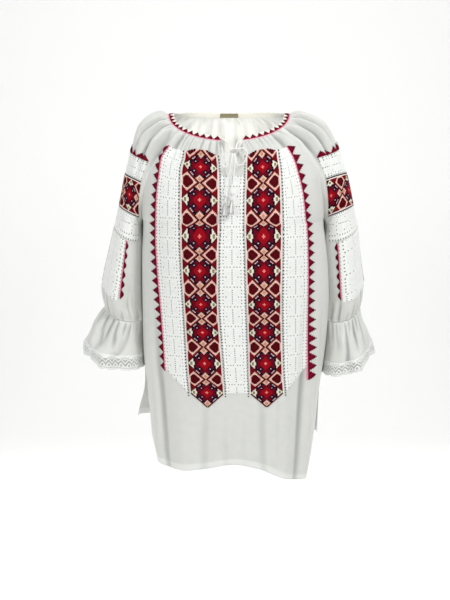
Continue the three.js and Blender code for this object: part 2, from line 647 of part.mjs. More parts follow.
// ---- Assembly -----------------------------------------------------------------------------
const bothSides = (make) => ({ right: make('right', -1), left: make('left', 1) });
const sleeves = bothSides((side, sign) => makeSleeve(sign, SLEEVES[side], SLEEVE_ROWS));
const forearms = bothSides((side, sign) => makeSleeve(sign, SLEEVES[side], FOREARM_ROWS));
const ruffles = bothSides((side, sign) => makeRuffle(sign, RUFFLES[side], forearms[side], RUFFLE_ROWS));
const laces = bothSides((side, sign) => makeRuffle(sign, RUFFLES[side], forearms[side], LACE_ROWS));
const neckband = makeNeckband(sleeves);
neckband.inwards = true;
const limbs = [sleeves, forearms, ruffles, laces].flatMap(({ right, left }) => [right, left]);
shareNormals([front, back, ...limbs, neckband]);

addPiece('front', sheetWall(front, (level) => (level > 16.82 ? HEM_WALL : CLOTH)), COTTON);
addPiece('back', sheetWall(back), COTTON);
addPiece('neckband', sheetWall(neckband), COTTON);

// The label lies inside the neckband, at the middle of the back.
const backMiddle = neckband.points[0].findIndex((p) => p.y > NECK.back - 0.01);
const underLabel = (level, j) => Math.abs(j - backMiddle) <= 1;
addPiece('label', bandGeometry(neckband, underLabel, SLEEVE_MARGIN, INSIDE), LABEL_TAPE);

// Front embroidery: two coloured bands, three drawn-thread bands and the two zigzag trims.
const TOP_OF_BANDS = 1;
const BAND_SHOULDER = 1.4;
const SIDE_BAND_END = 14;
for (const [side, from, to] of [['right', 'outerR', 'innerR'], ['left', 'innerL', 'outerL']]) {
  const middle = column(from) + 1;
  addPiece(`front_colour_band_${side}`, bandGeometry(front, (level, j) => {
    if (j < column(from) || j > column(to)) return false;
    const [top, bottom] = j === middle ? [TOP_OF_BANDS, 14.4] : [BAND_SHOULDER, SIDE_BAND_END];
    return level >= top && level <= bottom;
  }), EMBROIDERY);
}
const WHITE_BANDS = [['right', 'trimR', 'outerR', 'tipR'], ['left', 'trimL', 'outerL', 'tipL']];
for (const [side, trim, inner, tip] of WHITE_BANDS) {
  const [first, last] = [Math.min(column(trim), column(inner)), Math.max(column(trim), column(inner))];
  addPiece(`front_white_band_${side}`, bandGeometry(front, (level, j) => {
    if (j < first || j > last) return false;
    return level >= BAND_SHOULDER && level <= (j === column(inner) ? SIDE_BAND_END : 13);
  }), DRAWN_THREAD);
  const firstTooth = FRONT_ROWS.indexOf(BAND_SHOULDER);
  const stops = evenRows(front, column(trim), firstTooth, TOOTH_PITCH, FRONT_TEETH[side]);
  addPiece(`front_zigzag_${side}`, zigzagGeometry(front, stops, (row, out) =>
    [row, THREE.MathUtils.lerp(column(trim), column(tip), out)]), MAROON);
}
const inCentreBand = (level, j) =>
  j >= column('innerR') && j <= column('innerL') && level >= SLIT_END && level <= SIDE_BAND_END;
addPiece('front_white_band_centre', bandGeometry(front, inCentreBand), DRAWN_THREAD);

// Each sleeve: a zigzag, a drawn-thread band, a coloured band, another drawn-thread band, and a
// drawn-thread strip with a zigzag down each edge.
const SLEEVE_BANDS = table(['name', 'from', 'to', 'edge', 'finish'], [
  ['upper_white_band', 3.4, 4.8, 1, DRAWN_THREAD],
  ['colour_band', 4.8, 7, 1, EMBROIDERY],
  ['lower_white_band', 7, 9, 2, DRAWN_THREAD],
]);
const STRIP = { from: 9, to: 12, start: 8, end: { right: 12, left: 13 }, teeth: 6 };
for (const side of ['right', 'left']) {
  const sheet = sleeves[side];
  const forearm = forearms[side];
  addPiece(`sleeve_${side}`, sheetWall(sheet), COTTON);
  addPiece(`forearm_${side}`, sheetWall(forearm), COTTON);
  for (const { name, from, to, edge, finish: material } of SLEEVE_BANDS) {
    addPiece(`sleeve_${side}_${name}`, bandGeometry(sheet, (level, j) =>
      j >= edge && j <= SLEEVE_COLUMNS - edge && level >= from && level <= to, SLEEVE_MARGIN), material);
  }
  const inStrip = (level, j) =>
    j >= STRIP.start && j <= STRIP.end[side] && level >= STRIP.from && level <= STRIP.to;
  addPiece(`sleeve_${side}_strip`, bandGeometry(forearm, inStrip, SLEEVE_MARGIN), DRAWN_THREAD);
  const row = (level) => SLEEVE_ROWS.indexOf(level);
  const columns = Array.from({ length: SLEEVE_COLUMNS - 1 }, (_, k) => k + 1);
  addPiece(`sleeve_${side}_top_zigzag`, zigzagGeometry(sheet, columns, (at, out) =>
    [THREE.MathUtils.lerp(row(3.4), row(3), 0.6 * out), at]), MAROON);
  for (const [edge, at, reach] of [['front', STRIP.end[side], 0.4], ['back', STRIP.start, -0.3]]) {
    const stops = evenRows(forearm, at, FOREARM_ROWS.indexOf(STRIP.from), TOOTH_PITCH, STRIP.teeth);
    addPiece(`sleeve_${side}_${edge}_zigzag`, zigzagGeometry(forearm, stops, (place, out) =>
      [place, at + reach * out]), MAROON);
  }
  addPiece(`ruffle_${side}`, sheetWall(ruffles[side]), COTTON);
  addPiece(`ruffle_lace_${side}`, sheetWall(laces[side], constant(LACE_WALL)), DRAWN_THREAD);
}

// The drawstring's bow, tails and tassels.
addPiece('drawstring_bow', await bowGeometry(), CORD);
for (const [side, route] of [['right', TAIL_RIGHT], ['left', TAIL_LEFT]]) {
  addPiece(`drawstring_tail_${side}`, cordGeometry(route, 15), CORD);
  addPiece(`tassel_${side}`, tasselGeometry(route.at(-1)), CORD);
}

export default group;
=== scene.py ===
# %% [markdown]
# # An embroidered peasant blouse, worn
# The real blouse is thin white cotton, cut as a front, a back and two raglan sleeves that run up
# to the neck. All four are gathered into one narrow neckband that a drawstring closes over a
# short slit. The sleeves are gathered again at the elbow and end in ruffles edged with lace.
# Bands of cross stitch and of white drawn-thread work run down the front and round the sleeves.
#
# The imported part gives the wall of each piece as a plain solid. Here every piece becomes a thin
# sheet on the same form, with its gathers, its folds and its embroidery in stitches.

import bpy
import bmesh
import math
import numpy as np
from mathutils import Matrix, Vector


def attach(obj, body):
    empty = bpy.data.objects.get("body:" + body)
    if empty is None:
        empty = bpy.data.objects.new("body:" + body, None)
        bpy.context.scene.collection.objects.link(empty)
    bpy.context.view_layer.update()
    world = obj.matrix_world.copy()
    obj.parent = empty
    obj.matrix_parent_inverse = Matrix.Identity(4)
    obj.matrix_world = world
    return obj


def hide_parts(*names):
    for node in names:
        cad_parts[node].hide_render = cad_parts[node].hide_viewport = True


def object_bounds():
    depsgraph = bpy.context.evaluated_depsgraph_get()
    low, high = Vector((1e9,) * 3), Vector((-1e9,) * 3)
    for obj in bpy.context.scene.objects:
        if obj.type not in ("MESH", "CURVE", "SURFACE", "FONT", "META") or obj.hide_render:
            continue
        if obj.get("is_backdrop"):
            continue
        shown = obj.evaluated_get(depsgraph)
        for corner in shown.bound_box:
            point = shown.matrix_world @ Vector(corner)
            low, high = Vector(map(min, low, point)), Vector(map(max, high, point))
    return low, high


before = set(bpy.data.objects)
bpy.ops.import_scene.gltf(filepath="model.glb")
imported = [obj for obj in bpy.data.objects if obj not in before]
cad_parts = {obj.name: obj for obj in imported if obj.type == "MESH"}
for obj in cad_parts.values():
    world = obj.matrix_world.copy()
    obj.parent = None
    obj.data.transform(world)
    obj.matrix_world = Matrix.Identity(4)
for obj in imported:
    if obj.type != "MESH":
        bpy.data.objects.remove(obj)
CAD_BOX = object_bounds()
scene = bpy.context.scene
print("nodes:", len(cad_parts), "box:", [tuple(round(v, 3) for v in c) for c in CAD_BOX])


# %% Colours and nodes
def linear(hex_colour):
    """An sRGB hex colour as the linear RGBA that the shaders use."""
    parts = [int(hex_colour[i:i + 2], 16) / 255 for i in (1, 3, 5)]
    return tuple(v / 12.92 if v <= 0.04045 else ((v + 0.055) / 1.055) ** 2.4 for v in parts) + (1.0,)


def set_inputs(node, values):
    """Sets several inputs of a node by name."""
    for name, value in values.items():
        node.inputs[name].default_value = value


def add_node(tree, kind, links=None, **settings):
    """Adds one node. Settings are its properties or, by name, its inputs; links feed its inputs."""
    node = tree.nodes.new(kind)
    for name, value in settings.items():
        if hasattr(node, name) and name not in node.inputs:
            setattr(node, name, value)
        else:
            node.inputs[name].default_value = value
    for name, source in (links or {}).items():
        tree.links.new(source, node.inputs[name])
    return node


def maths(tree, operation, first, second=None):
    """The result of one sum in a tree: second may be an output or a number."""
    node = add_node(tree, "ShaderNodeMath", {0: first}, operation=operation)
    if isinstance(second, float):
        node.inputs[1].default_value = second
    elif second is not None:
        tree.links.new(second, node.inputs[1])
    return node.outputs[0]


def add_object(name, data):
    made = bpy.data.objects.new(name, data)
    scene.collection.objects.link(made)
    return made


# %% [markdown]
# ## Camera, light and floor
# The camera stands 2.75 m in front at the height of the neckline, and looks 7.5 degrees down with
# a moderately long lens. A key and a fill stand in front, one lamp hangs above, two stand behind
# and one lights the backdrop, in a bright surround as of white walls. Two small spots
# lighten the inside of the back of the neck.

# %% Camera
ELEVATION = math.radians(7.5)
DISTANCE = 2.75
AIM = Vector((-0.0075, 0.0, -0.3485))
camera = add_object("camera", bpy.data.cameras.new("camera"))
camera.location = AIM + DISTANCE * Vector((0, -math.cos(ELEVATION), math.sin(ELEVATION)))
camera.rotation_euler = (math.pi / 2 - ELEVATION, 0, 0)
camera.data.sensor_width = 24  # millimetres along the frame's longer side
camera.data.lens = 58.4
scene.camera = camera
scene.view_settings.view_transform = "Standard"
print("camera at", tuple(round(v, 3) for v in camera.location))

# %% Light
BACKDROP = Vector((0, 3.2, -0.7))
for name, place, target, size, watts in [
    ("key", (1.5, -1.9, 1.7), AIM, 0.5, 36),
    ("fill", (-1.9, -2.2, 0.4), AIM, 1.2, 20),
    ("top", (0.3, -0.4, 2.2), AIM, 1.0, 16),
    ("back left", (-2.2, 2.2, 0.6), AIM, 1.6, 14),
    ("back right", (2.2, 2.2, 0.6), AIM, 1.6, 14),
    ("backdrop", (0.0, 1.0, 0.9), BACKDROP, 2.4, 40),
]:
    lamp = add_object(name, bpy.data.lights.new(name, "AREA"))
    lamp.location = place
    lamp.rotation_euler = (target - Vector(place)).to_track_quat("-Z", "Y").to_euler()
    lamp.data.size = size
    lamp.data.energy = watts
# the light inside the neck, aimed at its back
for x in (-0.07, 0.07):
    glow = add_object("light inside", bpy.data.lights.new("light inside", "SPOT"))
    glow.location = (x, -0.03, -0.13)
    glow.rotation_euler = (Vector((0, 0.09, -0.02)) - glow.location).to_track_quat("-Z", "Y").to_euler()
    glow.data.energy, glow.data.shadow_soft_size = 0.38, 0.0
    glow.data.color = (1.0, 0.985, 0.94)
    glow.data.spot_size, glow.data.spot_blend = math.radians(100), 1.0
world = bpy.data.worlds.new("white studio")
world.use_nodes = True
set_inputs(world.node_tree.nodes["Background"], {"Color": linear("#ffffff"), "Strength": 0.42})
scene.world = world

# %% Floor and backdrop in one sweep
FLOOR_Z, BACK_Y, SWEEP, HALF = -1.35, 3.2, 1.0, 7.0
profile = [(-6.0, FLOOR_Z)] + [
    (BACK_Y + SWEEP * math.sin(a), FLOOR_Z + SWEEP * (1 - math.cos(a)))
    for a in np.linspace(0, math.pi / 2, 13)
] + [(BACK_Y + SWEEP, 5.0)]
verts = [(x, y, z) for y, z in profile for x in (-HALF, HALF)]
faces = [(2 * i, 2 * i + 1, 2 * i + 3, 2 * i + 2) for i in range(len(profile) - 1)]
mesh = bpy.data.meshes.new("floor")
mesh.from_pydata(verts, [], faces)
for face in mesh.polygons:
    face.use_smooth = True
floor = add_object("floor", mesh)
paint = bpy.data.materials.new("matt white studio paint")
paint.use_nodes = True
set_inputs(paint.node_tree.nodes["Principled BSDF"],
           {"Base Color": linear("#fbfbfa"), "Roughness": 1.0, "Specular IOR Level": 0.0})
mesh.materials.append(paint)
floor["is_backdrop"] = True

# %% [markdown]
# ## Finishes
# The blouse has six finishes: cotton, embroidery, maroon trim, drawn thread, cord and label, and
# some of them need more than one material. The ground is a thin plain weave, so it reads as a
# cool, slightly grey white; that grey is partly painted shade, the dim inside of the blouse seen
# through one layer. It is whiter wherever a hem or seam doubles it, and paler at the back of the
# neck as painted light: a number stored on the points carries that. A second number darkens the
# bottom of the deepest gathers as painted shade. The stitching thread takes its colour from an
# attribute of its own, because every stitch is dyed thread laid on white cloth. The weave follows
# the sheets' own UV maps, which hold real lengths in metres, so that it runs with the cloth.

# %% Cotton voile
def new_material(name):
    material = bpy.data.materials.new(name)
    material.use_nodes = True
    return material, material.node_tree, material.node_tree.nodes["Principled BSDF"]


def weave_height(tree, pitch, slub):
    """Height of a plain weave with one thread each way every pitch metres, and its uneven yarn."""
    place = add_node(tree, "ShaderNodeUVMap")
    waves = []
    for direction in ("X", "Y"):
        # a wave texture repeats every 0.314 units at scale 1, hence the 0.314
        waves.append(add_node(tree, "ShaderNodeTexWave", {"Vector": place.outputs["UV"]},
                              bands_direction=direction, Scale=0.314 / pitch, Distortion=0.6,
                              **{"Detail Scale": 40.0}))
    cross = add_node(tree, "ShaderNodeMix", data_type="FLOAT", Factor=0.5)
    tree.links.new(waves[0].outputs["Fac"], cross.inputs["A"])
    tree.links.new(waves[1].outputs["Fac"], cross.inputs["B"])
    yarn = add_node(tree, "ShaderNodeTexNoise", {"Vector": place.outputs["UV"]}, Scale=slub, Detail=2.0)
    both = add_node(tree, "ShaderNodeMix", data_type="FLOAT", Factor=0.35)
    tree.links.new(cross.outputs["Result"], both.inputs["A"])
    tree.links.new(yarn.outputs["Fac"], both.inputs["B"])
    return both.outputs["Result"]


def speckle(tree, scale, detail):
    """Noise from 0 to 1, fixed in the object."""
    place = add_node(tree, "ShaderNodeTexCoord")
    noise = add_node(tree, "ShaderNodeTexNoise", {"Vector": place.outputs["Object"]},
                     Scale=scale, Detail=detail)
    return noise.outputs["Fac"]


def bump(tree, shader, height, strength, distance):
    node = add_node(tree, "ShaderNodeBump", {"Height": height}, Strength=strength, Distance=distance)
    tree.links.new(node.outputs["Normal"], shader.inputs["Normal"])


def mix_colours(tree, factor, first, second):
    node = add_node(tree, "ShaderNodeMix", data_type="RGBA")
    tree.links.new(factor, node.inputs["Factor"])
    for socket, value in (("A", first), ("B", second)):
        inlet = next(s for s in node.inputs if s.name == socket and s.type == "RGBA")
        if isinstance(value, str):
            inlet.default_value = linear(value)
        else:
            tree.links.new(value, inlet)
    return next(s for s in node.outputs if s.type == "RGBA")


# the white of doubled cloth; at the back of the neck the same white is painted light
DOUBLED_AND_LIT_WHITE = "#f3f4f1"
voile, tree, shader = new_material("cotton voile, plain weave")
doubled_and_lit = add_node(tree, "ShaderNodeAttribute", attribute_name="doubled_and_lit")
# the single layer's grey is partly painted shade: the dim inside of the blouse seen through it
ground = mix_colours(tree, speckle(tree, 60.0, 3.0), "#dadbd7", "#e4e5e0")
layers = mix_colours(tree, doubled_and_lit.outputs["Fac"], ground, DOUBLED_AND_LIT_WHITE)
# painted shade: the cloth darkens towards #8b8e8b at the bottom of the deepest gathers
deep = add_node(tree, "ShaderNodeAttribute", attribute_name="shade")
painted_shade = maths(tree, "MULTIPLY", deep.outputs["Fac"], 0.65)
tree.links.new(mix_colours(tree, painted_shade, layers, "#8b8e8b"), shader.inputs["Base Color"])
set_inputs(shader, {"Roughness": 0.85, "Specular IOR Level": 0.25, "Sheen Weight": 0.12,
                    "Sheen Roughness": 0.5})
# light soaks through one thin layer, which lifts the shade inside the neck and the folds
set_inputs(shader, {"Subsurface Weight": 0.35, "Subsurface Radius": (1.0, 1.0, 1.0),
                    "Subsurface Scale": 0.001})
# real voile has three threads to a millimetre; one to 0.9 mm is the finest that still shows
bump(tree, shader, weave_height(tree, 0.0009, 900.0), 0.35, 0.0002)

# %% Threads, lace and tape
floss, tree, shader = new_material("stranded cotton floss, dyed")
dye = add_node(tree, "ShaderNodeAttribute", attribute_name="thread")
tree.links.new(dye.outputs["Color"], shader.inputs["Base Color"])
set_inputs(shader, {"Roughness": 0.75, "Specular IOR Level": 0.08})
bump(tree, shader, speckle(tree, 2600.0, 2.0), 0.3, 0.0002)


def plain_cotton(name, low, high, scale, roughness, strength, soak=0.0):
    """A cotton finish: two shades close together in soft patches, over a fine fibrous bump."""
    material, tree, shader = new_material(name)
    patches = mix_colours(tree, speckle(tree, scale, 3.0), low, high)
    tree.links.new(patches, shader.inputs["Base Color"])
    set_inputs(shader, {"Roughness": roughness, "Specular IOR Level": 0.3, "Sheen Weight": 0.1,
                        "Subsurface Weight": soak, "Subsurface Radius": (1.0, 1.0, 1.0),
                        "Subsurface Scale": 0.001})
    bump(tree, shader, speckle(tree, 2200.0, 2.0), strength, 0.0003)
    return material


# bright and a little glossy, so the whitework stands out from the matt ground
white_floss = plain_cotton("white pearl cotton, satin and bar stitches", "#eef0ee", "#fbfcfa", 120, 0.5, 0.25)
net = plain_cotton("white cotton lace and drawn-thread bars", "#f2f4f0", "#fafbf8", 90, 0.8, 0.35)
cord_white = plain_cotton("bleached twisted cotton cord", "#fafaf7", "#fefefc", 200, 0.7, 0.12, soak=0.7)
fringe = plain_cotton("combed-out cotton fringe", "#f4f4f1", "#fdfdfb", 700, 0.9, 0.2)
label_tape = plain_cotton("woven olive tape", "#847e62", "#948d70", 160, 0.8, 0.4)
band_cloth = plain_cotton("neckband, two layers of voile", "#eeece2", "#f8f6ef", 80, 0.85, 0.3, soak=0.5)
print("finishes:", [m.name for m in bpy.data.materials])

# %% [markdown]
# ## The drawstring
# The cord is twisted white cotton, 3 mm thick. It is tied in a bow over the slit, and its two
# tails hang down the front, each to a tassel. A cord follows a path, so Geometry Nodes run a
# small lobed profile along it and turn it as it goes, which gives the twist. The same tree
# makes the bow, the knots and the strands of the tassels, with other sizes.

# %% A tree that runs a twisted cord
def unit_vector(v):
    return np.asarray(v, float) / np.linalg.norm(v)


def join(name, pieces):
    """Several plain objects as one."""
    mesh, first = bmesh.new(), pieces[0]
    for piece in pieces:
        before = len(mesh.faces)
        mesh.from_mesh(piece.data)
        finish = piece.data.materials[0]
        if finish.name not in first.data.materials:
            first.data.materials.append(finish)
        mesh.faces.ensure_lookup_table()
        for face in mesh.faces[before:]:
            face.material_index = first.data.materials.find(finish.name)
    mesh.to_mesh(first.data)
    mesh.free()
    for piece in pieces[1:]:
        bpy.data.objects.remove(piece)
    first.name = first.data.name = name
    return first


def new_tree(name, inputs):
    """An empty geometry tree with named inputs: (name, kind, value)."""
    tree = bpy.data.node_groups.new(name, "GeometryNodeTree")
    tree.interface.new_socket("Geometry", in_out="OUTPUT", socket_type="NodeSocketGeometry")
    tree.interface.new_socket("Geometry", in_out="INPUT", socket_type="NodeSocketGeometry")
    for label, kind, value in inputs:
        socket = tree.interface.new_socket(label, in_out="INPUT", socket_type="NodeSocket" + kind)
        if value is not None:
            socket.default_value = value
    return tree, tree.nodes.new("NodeGroupInput").outputs, tree.nodes.new("NodeGroupOutput")


def finish_tree(tree, geometry, material, exit_node):
    """Ends a tree in Realize Instances and Set Material."""
    real = add_node(tree, "GeometryNodeRealizeInstances", {"Geometry": geometry})
    coated = add_node(tree, "GeometryNodeSetMaterial", {"Geometry": real.outputs[0], "Material": material})
    tree.links.new(coated.outputs[0], exit_node.inputs[0])


def grow(name, source, tree, values):
    """Runs a tree on a mesh, and gives the result as a plain object."""
    holder = add_object(name, source)
    modifier = holder.modifiers.new("grow", "NODES")
    modifier.node_group = tree
    for item in tree.interface.items_tree:
        if item.in_out == "INPUT" and item.name in values:
            modifier[item.identifier] = values[item.name]
    evaluated = holder.evaluated_get(bpy.context.evaluated_depsgraph_get())
    grown = bpy.data.meshes.new_from_object(evaluated)
    holder.modifiers.clear()
    holder.data = grown
    grown.name = name
    return holder


run_cord, given, way_out = new_tree("run cord", [
    ("Radius", "Float", 0.0015), ("Lobe", "Float", 0.12), ("Lobes", "Int", 3), ("Round", "Int", 9),
    ("Turns per metre", "Float", 160.0), ("Step", "Float", 0.0012), ("Finish", "Material", None)])
line = add_node(run_cord, "GeometryNodeMeshToCurve", {"Mesh": given["Geometry"]})
fine = add_node(run_cord, "GeometryNodeResampleCurve", {"Curve": line.outputs[0], "Length": given["Step"]},
                mode="LENGTH")
length = add_node(run_cord, "GeometryNodeSplineParameter")
turns = maths(run_cord, "MULTIPLY", length.outputs["Length"], given["Turns per metre"])
tilted = add_node(run_cord, "GeometryNodeSetCurveTilt",
                  {"Curve": fine.outputs[0], "Tilt": maths(run_cord, "MULTIPLY", turns, 2 * math.pi)})
ring = add_node(run_cord, "GeometryNodeCurvePrimitiveCircle",
                {"Radius": given["Radius"], "Resolution": given["Round"]})
part = add_node(run_cord, "GeometryNodeSplineParameter")
lobes = maths(run_cord, "MULTIPLY", part.outputs["Factor"], given["Lobes"])
wave = maths(run_cord, "COSINE", maths(run_cord, "MULTIPLY", lobes, 2 * math.pi))
grown = maths(run_cord, "ADD", maths(run_cord, "MULTIPLY", wave, given["Lobe"]), 1.0)
place = add_node(run_cord, "GeometryNodeInputPosition")
outwards = add_node(run_cord, "ShaderNodeVectorMath", {0: place.outputs[0], "Scale": grown},
                    operation="SCALE")
lobed = add_node(run_cord, "GeometryNodeSetPosition",
                 {"Geometry": ring.outputs[0], "Position": outwards.outputs[0]})
skin = add_node(run_cord, "GeometryNodeCurveToMesh",
                {"Curve": tilted.outputs[0], "Profile Curve": lobed.outputs[0]})
skin.inputs["Fill Caps"].default_value = True
finish_tree(run_cord, skin.outputs[0], given["Finish"], way_out)
print("tree:", run_cord.name, "with", len(run_cord.nodes), "nodes")


def path_mesh(name, paths):
    """Loose edges along one or more lines of points, in millimetres."""
    verts, edges = [], []
    for path in paths:
        start = len(verts)
        verts += [tuple(c * 0.001 for c in p) for p in path]
        edges += [(start + k, start + k + 1) for k in range(len(path) - 1)]
    mesh = bpy.data.meshes.new(name)
    mesh.from_pydata(verts, edges, [])
    return mesh


def cord_through(points, step=1.0):
    """A smooth line through a few points, sampled about every step millimetres."""
    p = np.array(points, float)
    lengths = np.concatenate([[0], np.cumsum(np.linalg.norm(np.diff(p, axis=0), axis=1))])
    slope = np.gradient(p, lengths, axis=0)
    at = np.linspace(0, lengths[-1], max(int(lengths[-1] / step), 4) + 1)
    i = np.clip(np.searchsorted(lengths, at), 1, len(p) - 1)
    span = (lengths[i] - lengths[i - 1])[:, None]
    t = ((at - lengths[i - 1]) / span[:, 0])[:, None]
    t2, t3 = t * t, t * t * t
    return ((2 * t3 - 3 * t2 + 1) * p[i - 1] + (3 * t2 - 2 * t3) * p[i]
            + (t3 - 2 * t2 + t) * slope[i - 1] * span + (t3 - t2) * slope[i] * span)


def dress(piece, slot, *nodes, body="root"):
    """Shades a finished piece smooth, hangs it on its body and hides the CAD nodes it stands for. The slot is
    not used.
    """
    for face in piece.data.polygons:
        face.use_smooth = True
    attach(piece, body)
    if nodes:
        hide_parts(*nodes)
    return piece


# %% Tails of the cord
CORD_RADIUS = 1.5
TAIL = {
    "right": [[5.4, -118.4, -70.6], [5, -121.1, -75.8], [4.4, -123, -81.3], [3.6, -123.9, -87.1],
              [2.6, -124.2, -92.9], [1.5, -124.3, -98.7], [0.3, -124.5, -104.4], [-1.1, -124.8, -110.1],
              [-2.3, -125.5, -115.9], [-3.4, -126.3, -121.6], [-4.3, -127.3, -127.3], [-5, -128.4, -133.1],
              [-5.7, -129.6, -138.8], [-6.2, -130.9, -144.5], [-6.6, -132.2, -150.3], [-7, -133.4, -156]],
    "left": [[9.8, -119.2, -71], [10.4, -121.6, -76], [10.5, -123.2, -81.3], [10.2, -124.2, -86.7],
             [9.8, -124.6, -92.2], [9.3, -124.8, -97.7], [8.8, -125, -103.3], [8.3, -125.2, -108.8],
             [7.8, -125.8, -114.3], [7.2, -126.6, -119.7], [6.7, -127.6, -125.1], [6.1, -128.9, -130.5],
             [5.6, -130.1, -135.9], [5.1, -131.4, -141.3], [4.7, -132.7, -146.6], [4.4, -134, -152]],
}
CORD = {"Radius": CORD_RADIUS * 0.001, "Finish": cord_white}
tails, tail_path = {}, {}
for side, route in TAIL.items():
    name = f"drawstring_tail_{side}"
    tail_path[side] = cord_through(route)
    tails[side] = grow(f"tail_{side}_cord", path_mesh(name, [tail_path[side]]), run_cord, CORD)
    dress(tails[side], "cord", name)
    print(name, "mm:", round(float(np.linalg.norm(np.diff(tail_path[side], axis=0), axis=1).sum()), 1))

# %% [markdown]
# A tassel is the cord's own frayed end: a knot, a tight neck and a ridged skirt with loose
# strands over it. The strands are short paths that start at the knot and part a little as they
# fall, with a fixed seed, so each tassel is uneven in the same way every time.

# %% Tassels
TASSEL_LENGTH, TASSEL_NECK, TASSEL_SKIRT, STRANDS = 26.0, 2.2, 5.0, 30
KNOT_ABOVE = 11.0  # a small round knot sits on each tail about this far above its end


def round_knot(centre, radius, axis, seed):
    """A knot as one strand wound round itself, larger in the middle."""
    turns, n = 4.5, 80
    side_way = unit_vector(np.cross(axis, [0.3, 1, 0.1]))
    other = np.cross(axis, side_way)
    points = []
    for k in range(n):
        t = k / (n - 1)
        swing, lift = 2 * math.pi * turns * t + seed, (t - 0.5) * 2
        reach = radius * math.sqrt(max(1 - 0.72 * lift * lift, 0.05))
        points.append(centre + reach * (math.cos(swing) * side_way + math.sin(swing) * other)
                      + axis * lift * radius * 0.8 + axis * math.sin(swing * 0.5) * radius * 0.25)
    return points


def skirt(name, end, way, across, through, rng):
    """The body of a tassel: a bell with a ridge for every strand and a ragged lower edge."""
    around, down = 72, 14
    verts, faces = [], []
    ragged = rng.uniform(-1.6, 0.4, around // 3).repeat(3)
    for row in range(down + 1):
        t = row / down
        radius = TASSEL_NECK * 0.75 + (TASSEL_SKIRT - TASSEL_NECK) * min(t / 0.5, 1) ** 1.3 * (1 - 0.12 * t)
        for k in range(around):
            swing = 2 * math.pi * k / around
            ridge = 1 + 0.09 * math.cos(24 * swing + 0.8 * math.sin(3 * swing + 4 * t))
            out = across * math.cos(swing) + through * math.sin(swing) * 0.62
            verts.append(tuple((end + way * (0.6 + TASSEL_LENGTH * 0.93 * t + ragged[k] * t)
                                + out * radius * ridge + across * 0.5 * math.sin(t * 3)) * 0.001))
    for row in range(down):
        for k in range(around):
            a, b = row * around + k, row * around + (k + 1) % around
            faces.append((a, b, b + around, a + around))
    faces += [tuple(range(around))[::-1], tuple(range(down * around, (down + 1) * around))]
    mesh = bpy.data.meshes.new(name)
    mesh.from_pydata(verts, [], faces)
    whole = bmesh.new()
    whole.from_mesh(mesh)
    bmesh.ops.recalc_face_normals(whole, faces=whole.faces)
    whole.to_mesh(mesh)
    whole.free()
    mesh.materials.append(fringe)
    return add_object(name, mesh)


tassels = {}
for side in TAIL:
    end, before = tail_path[side][-1], tail_path[side][-3]
    way = unit_vector(end - before)
    across = unit_vector(np.cross(way, [0, 1, 0.2]))
    through = np.cross(way, across)
    rng = np.random.default_rng(3 if side == "right" else 4)
    strands = []
    for k in range(STRANDS):
        swing = rng.uniform(0, 2 * math.pi)
        out = across * math.cos(swing) + through * math.sin(swing) * 0.62
        length = TASSEL_LENGTH * rng.uniform(0.75, 1.0)
        bend = rng.uniform(-1.0, 1.0)
        line = []
        for t in np.linspace(0, 1, 9):
            open_out = TASSEL_NECK * 0.8 + (TASSEL_SKIRT - TASSEL_NECK) * min(t / 0.5, 1) ** 1.3
            line.append(end + way * (0.6 + length * t) + out * (open_out + 0.2)
                        + across * bend * math.sin(t * 3.0) * t)
        strands.append(line)
    name = f"tassel_{side}"
    bell = skirt(name + "_skirt", end, way, across, through, rng)
    loose = grow(name, path_mesh(name, strands), run_cord,
                 {**CORD, "Radius": 0.00045, "Round": 4, "Lobe": 0.0, "Step": 0.003, "Finish": fringe})
    knots = [round_knot(end + way * 1.0, TASSEL_NECK * 1.15, way, 0.5),
             round_knot(tail_path[side][-int(KNOT_ABOVE)], 3.0, way, 1.7)]
    wound = grow(name + "_knots", path_mesh(name, knots), run_cord,
                 {**CORD, "Radius": 0.0008, "Round": 6, "Lobe": 0.12, "Step": 0.0014})
    tassels[side] = join(f"tassel_{side}_strands", [bell, loose, wound])
    dress(tassels[side], "cord", name)

# %% Bow and its knot
KNOT = np.array([7.5, -114.0, -65.0])
BOW = {
    "right loop": [[5, -114, -65], [-2, -116, -67], [-10, -117.5, -73], [-14, -118.5, -82],
                   [-12, -119.5, -91], [-6, -119.5, -94], [-1, -118.5, -88], [2, -116.5, -78],
                   [5, -115, -69]],
    "left loop": [[10, -114, -65], [18, -115.5, -61], [27, -117, -61], [32, -118.5, -69],
                  [29, -119.5, -81], [22, -120, -90], [16, -119.5, -91], [12, -118, -82], [9.5, -115.5, -70]],
    "across the slit": [[-13.4, -90.8, -44], [-9, -94, -46.5], [-3, -102, -53], [5, -112.5, -63],
                        [10, -112.5, -63], [14, -102, -54], [19, -93.5, -46], [23.1, -89.4, -43.2]],
}
loops = grow("bow_loops", path_mesh("bow", [cord_through(p) for p in BOW.values()]), run_cord, CORD)
wraps = [[KNOT + np.array([3.6 * math.cos(a) + shift, 3.06 * math.sin(a) - 2.2, 3.1 * math.cos(a + 0.9)])
          for a in np.linspace(0, 2 * math.pi, 26)] for shift in (-1.6, 0.2, 1.8)]
wound = grow("bow_knot", path_mesh("wraps", wraps), run_cord, CORD)
bow = join("bow_cord", [loops, wound])
dress(bow, "cord", "drawstring_bow")
for side in TAIL:
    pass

# %% [markdown]
# ## The cut, as tables
# A blouse has no straight lines once it is worn, so its form is given by short tables. Levels
# run down the garment: 0 is the neckline, 8 the armpits, 13 the elbow and 17 the front hem. The
# numbers are millimetres, and a smooth curve through each column fills in what lies between.

# %% Reading the tables
MM = 0.001


def table(names, rows):
    """A short table as columns: each name with its numbers, in millimetres."""
    return dict(zip(names.split(), np.array(rows, float).T))


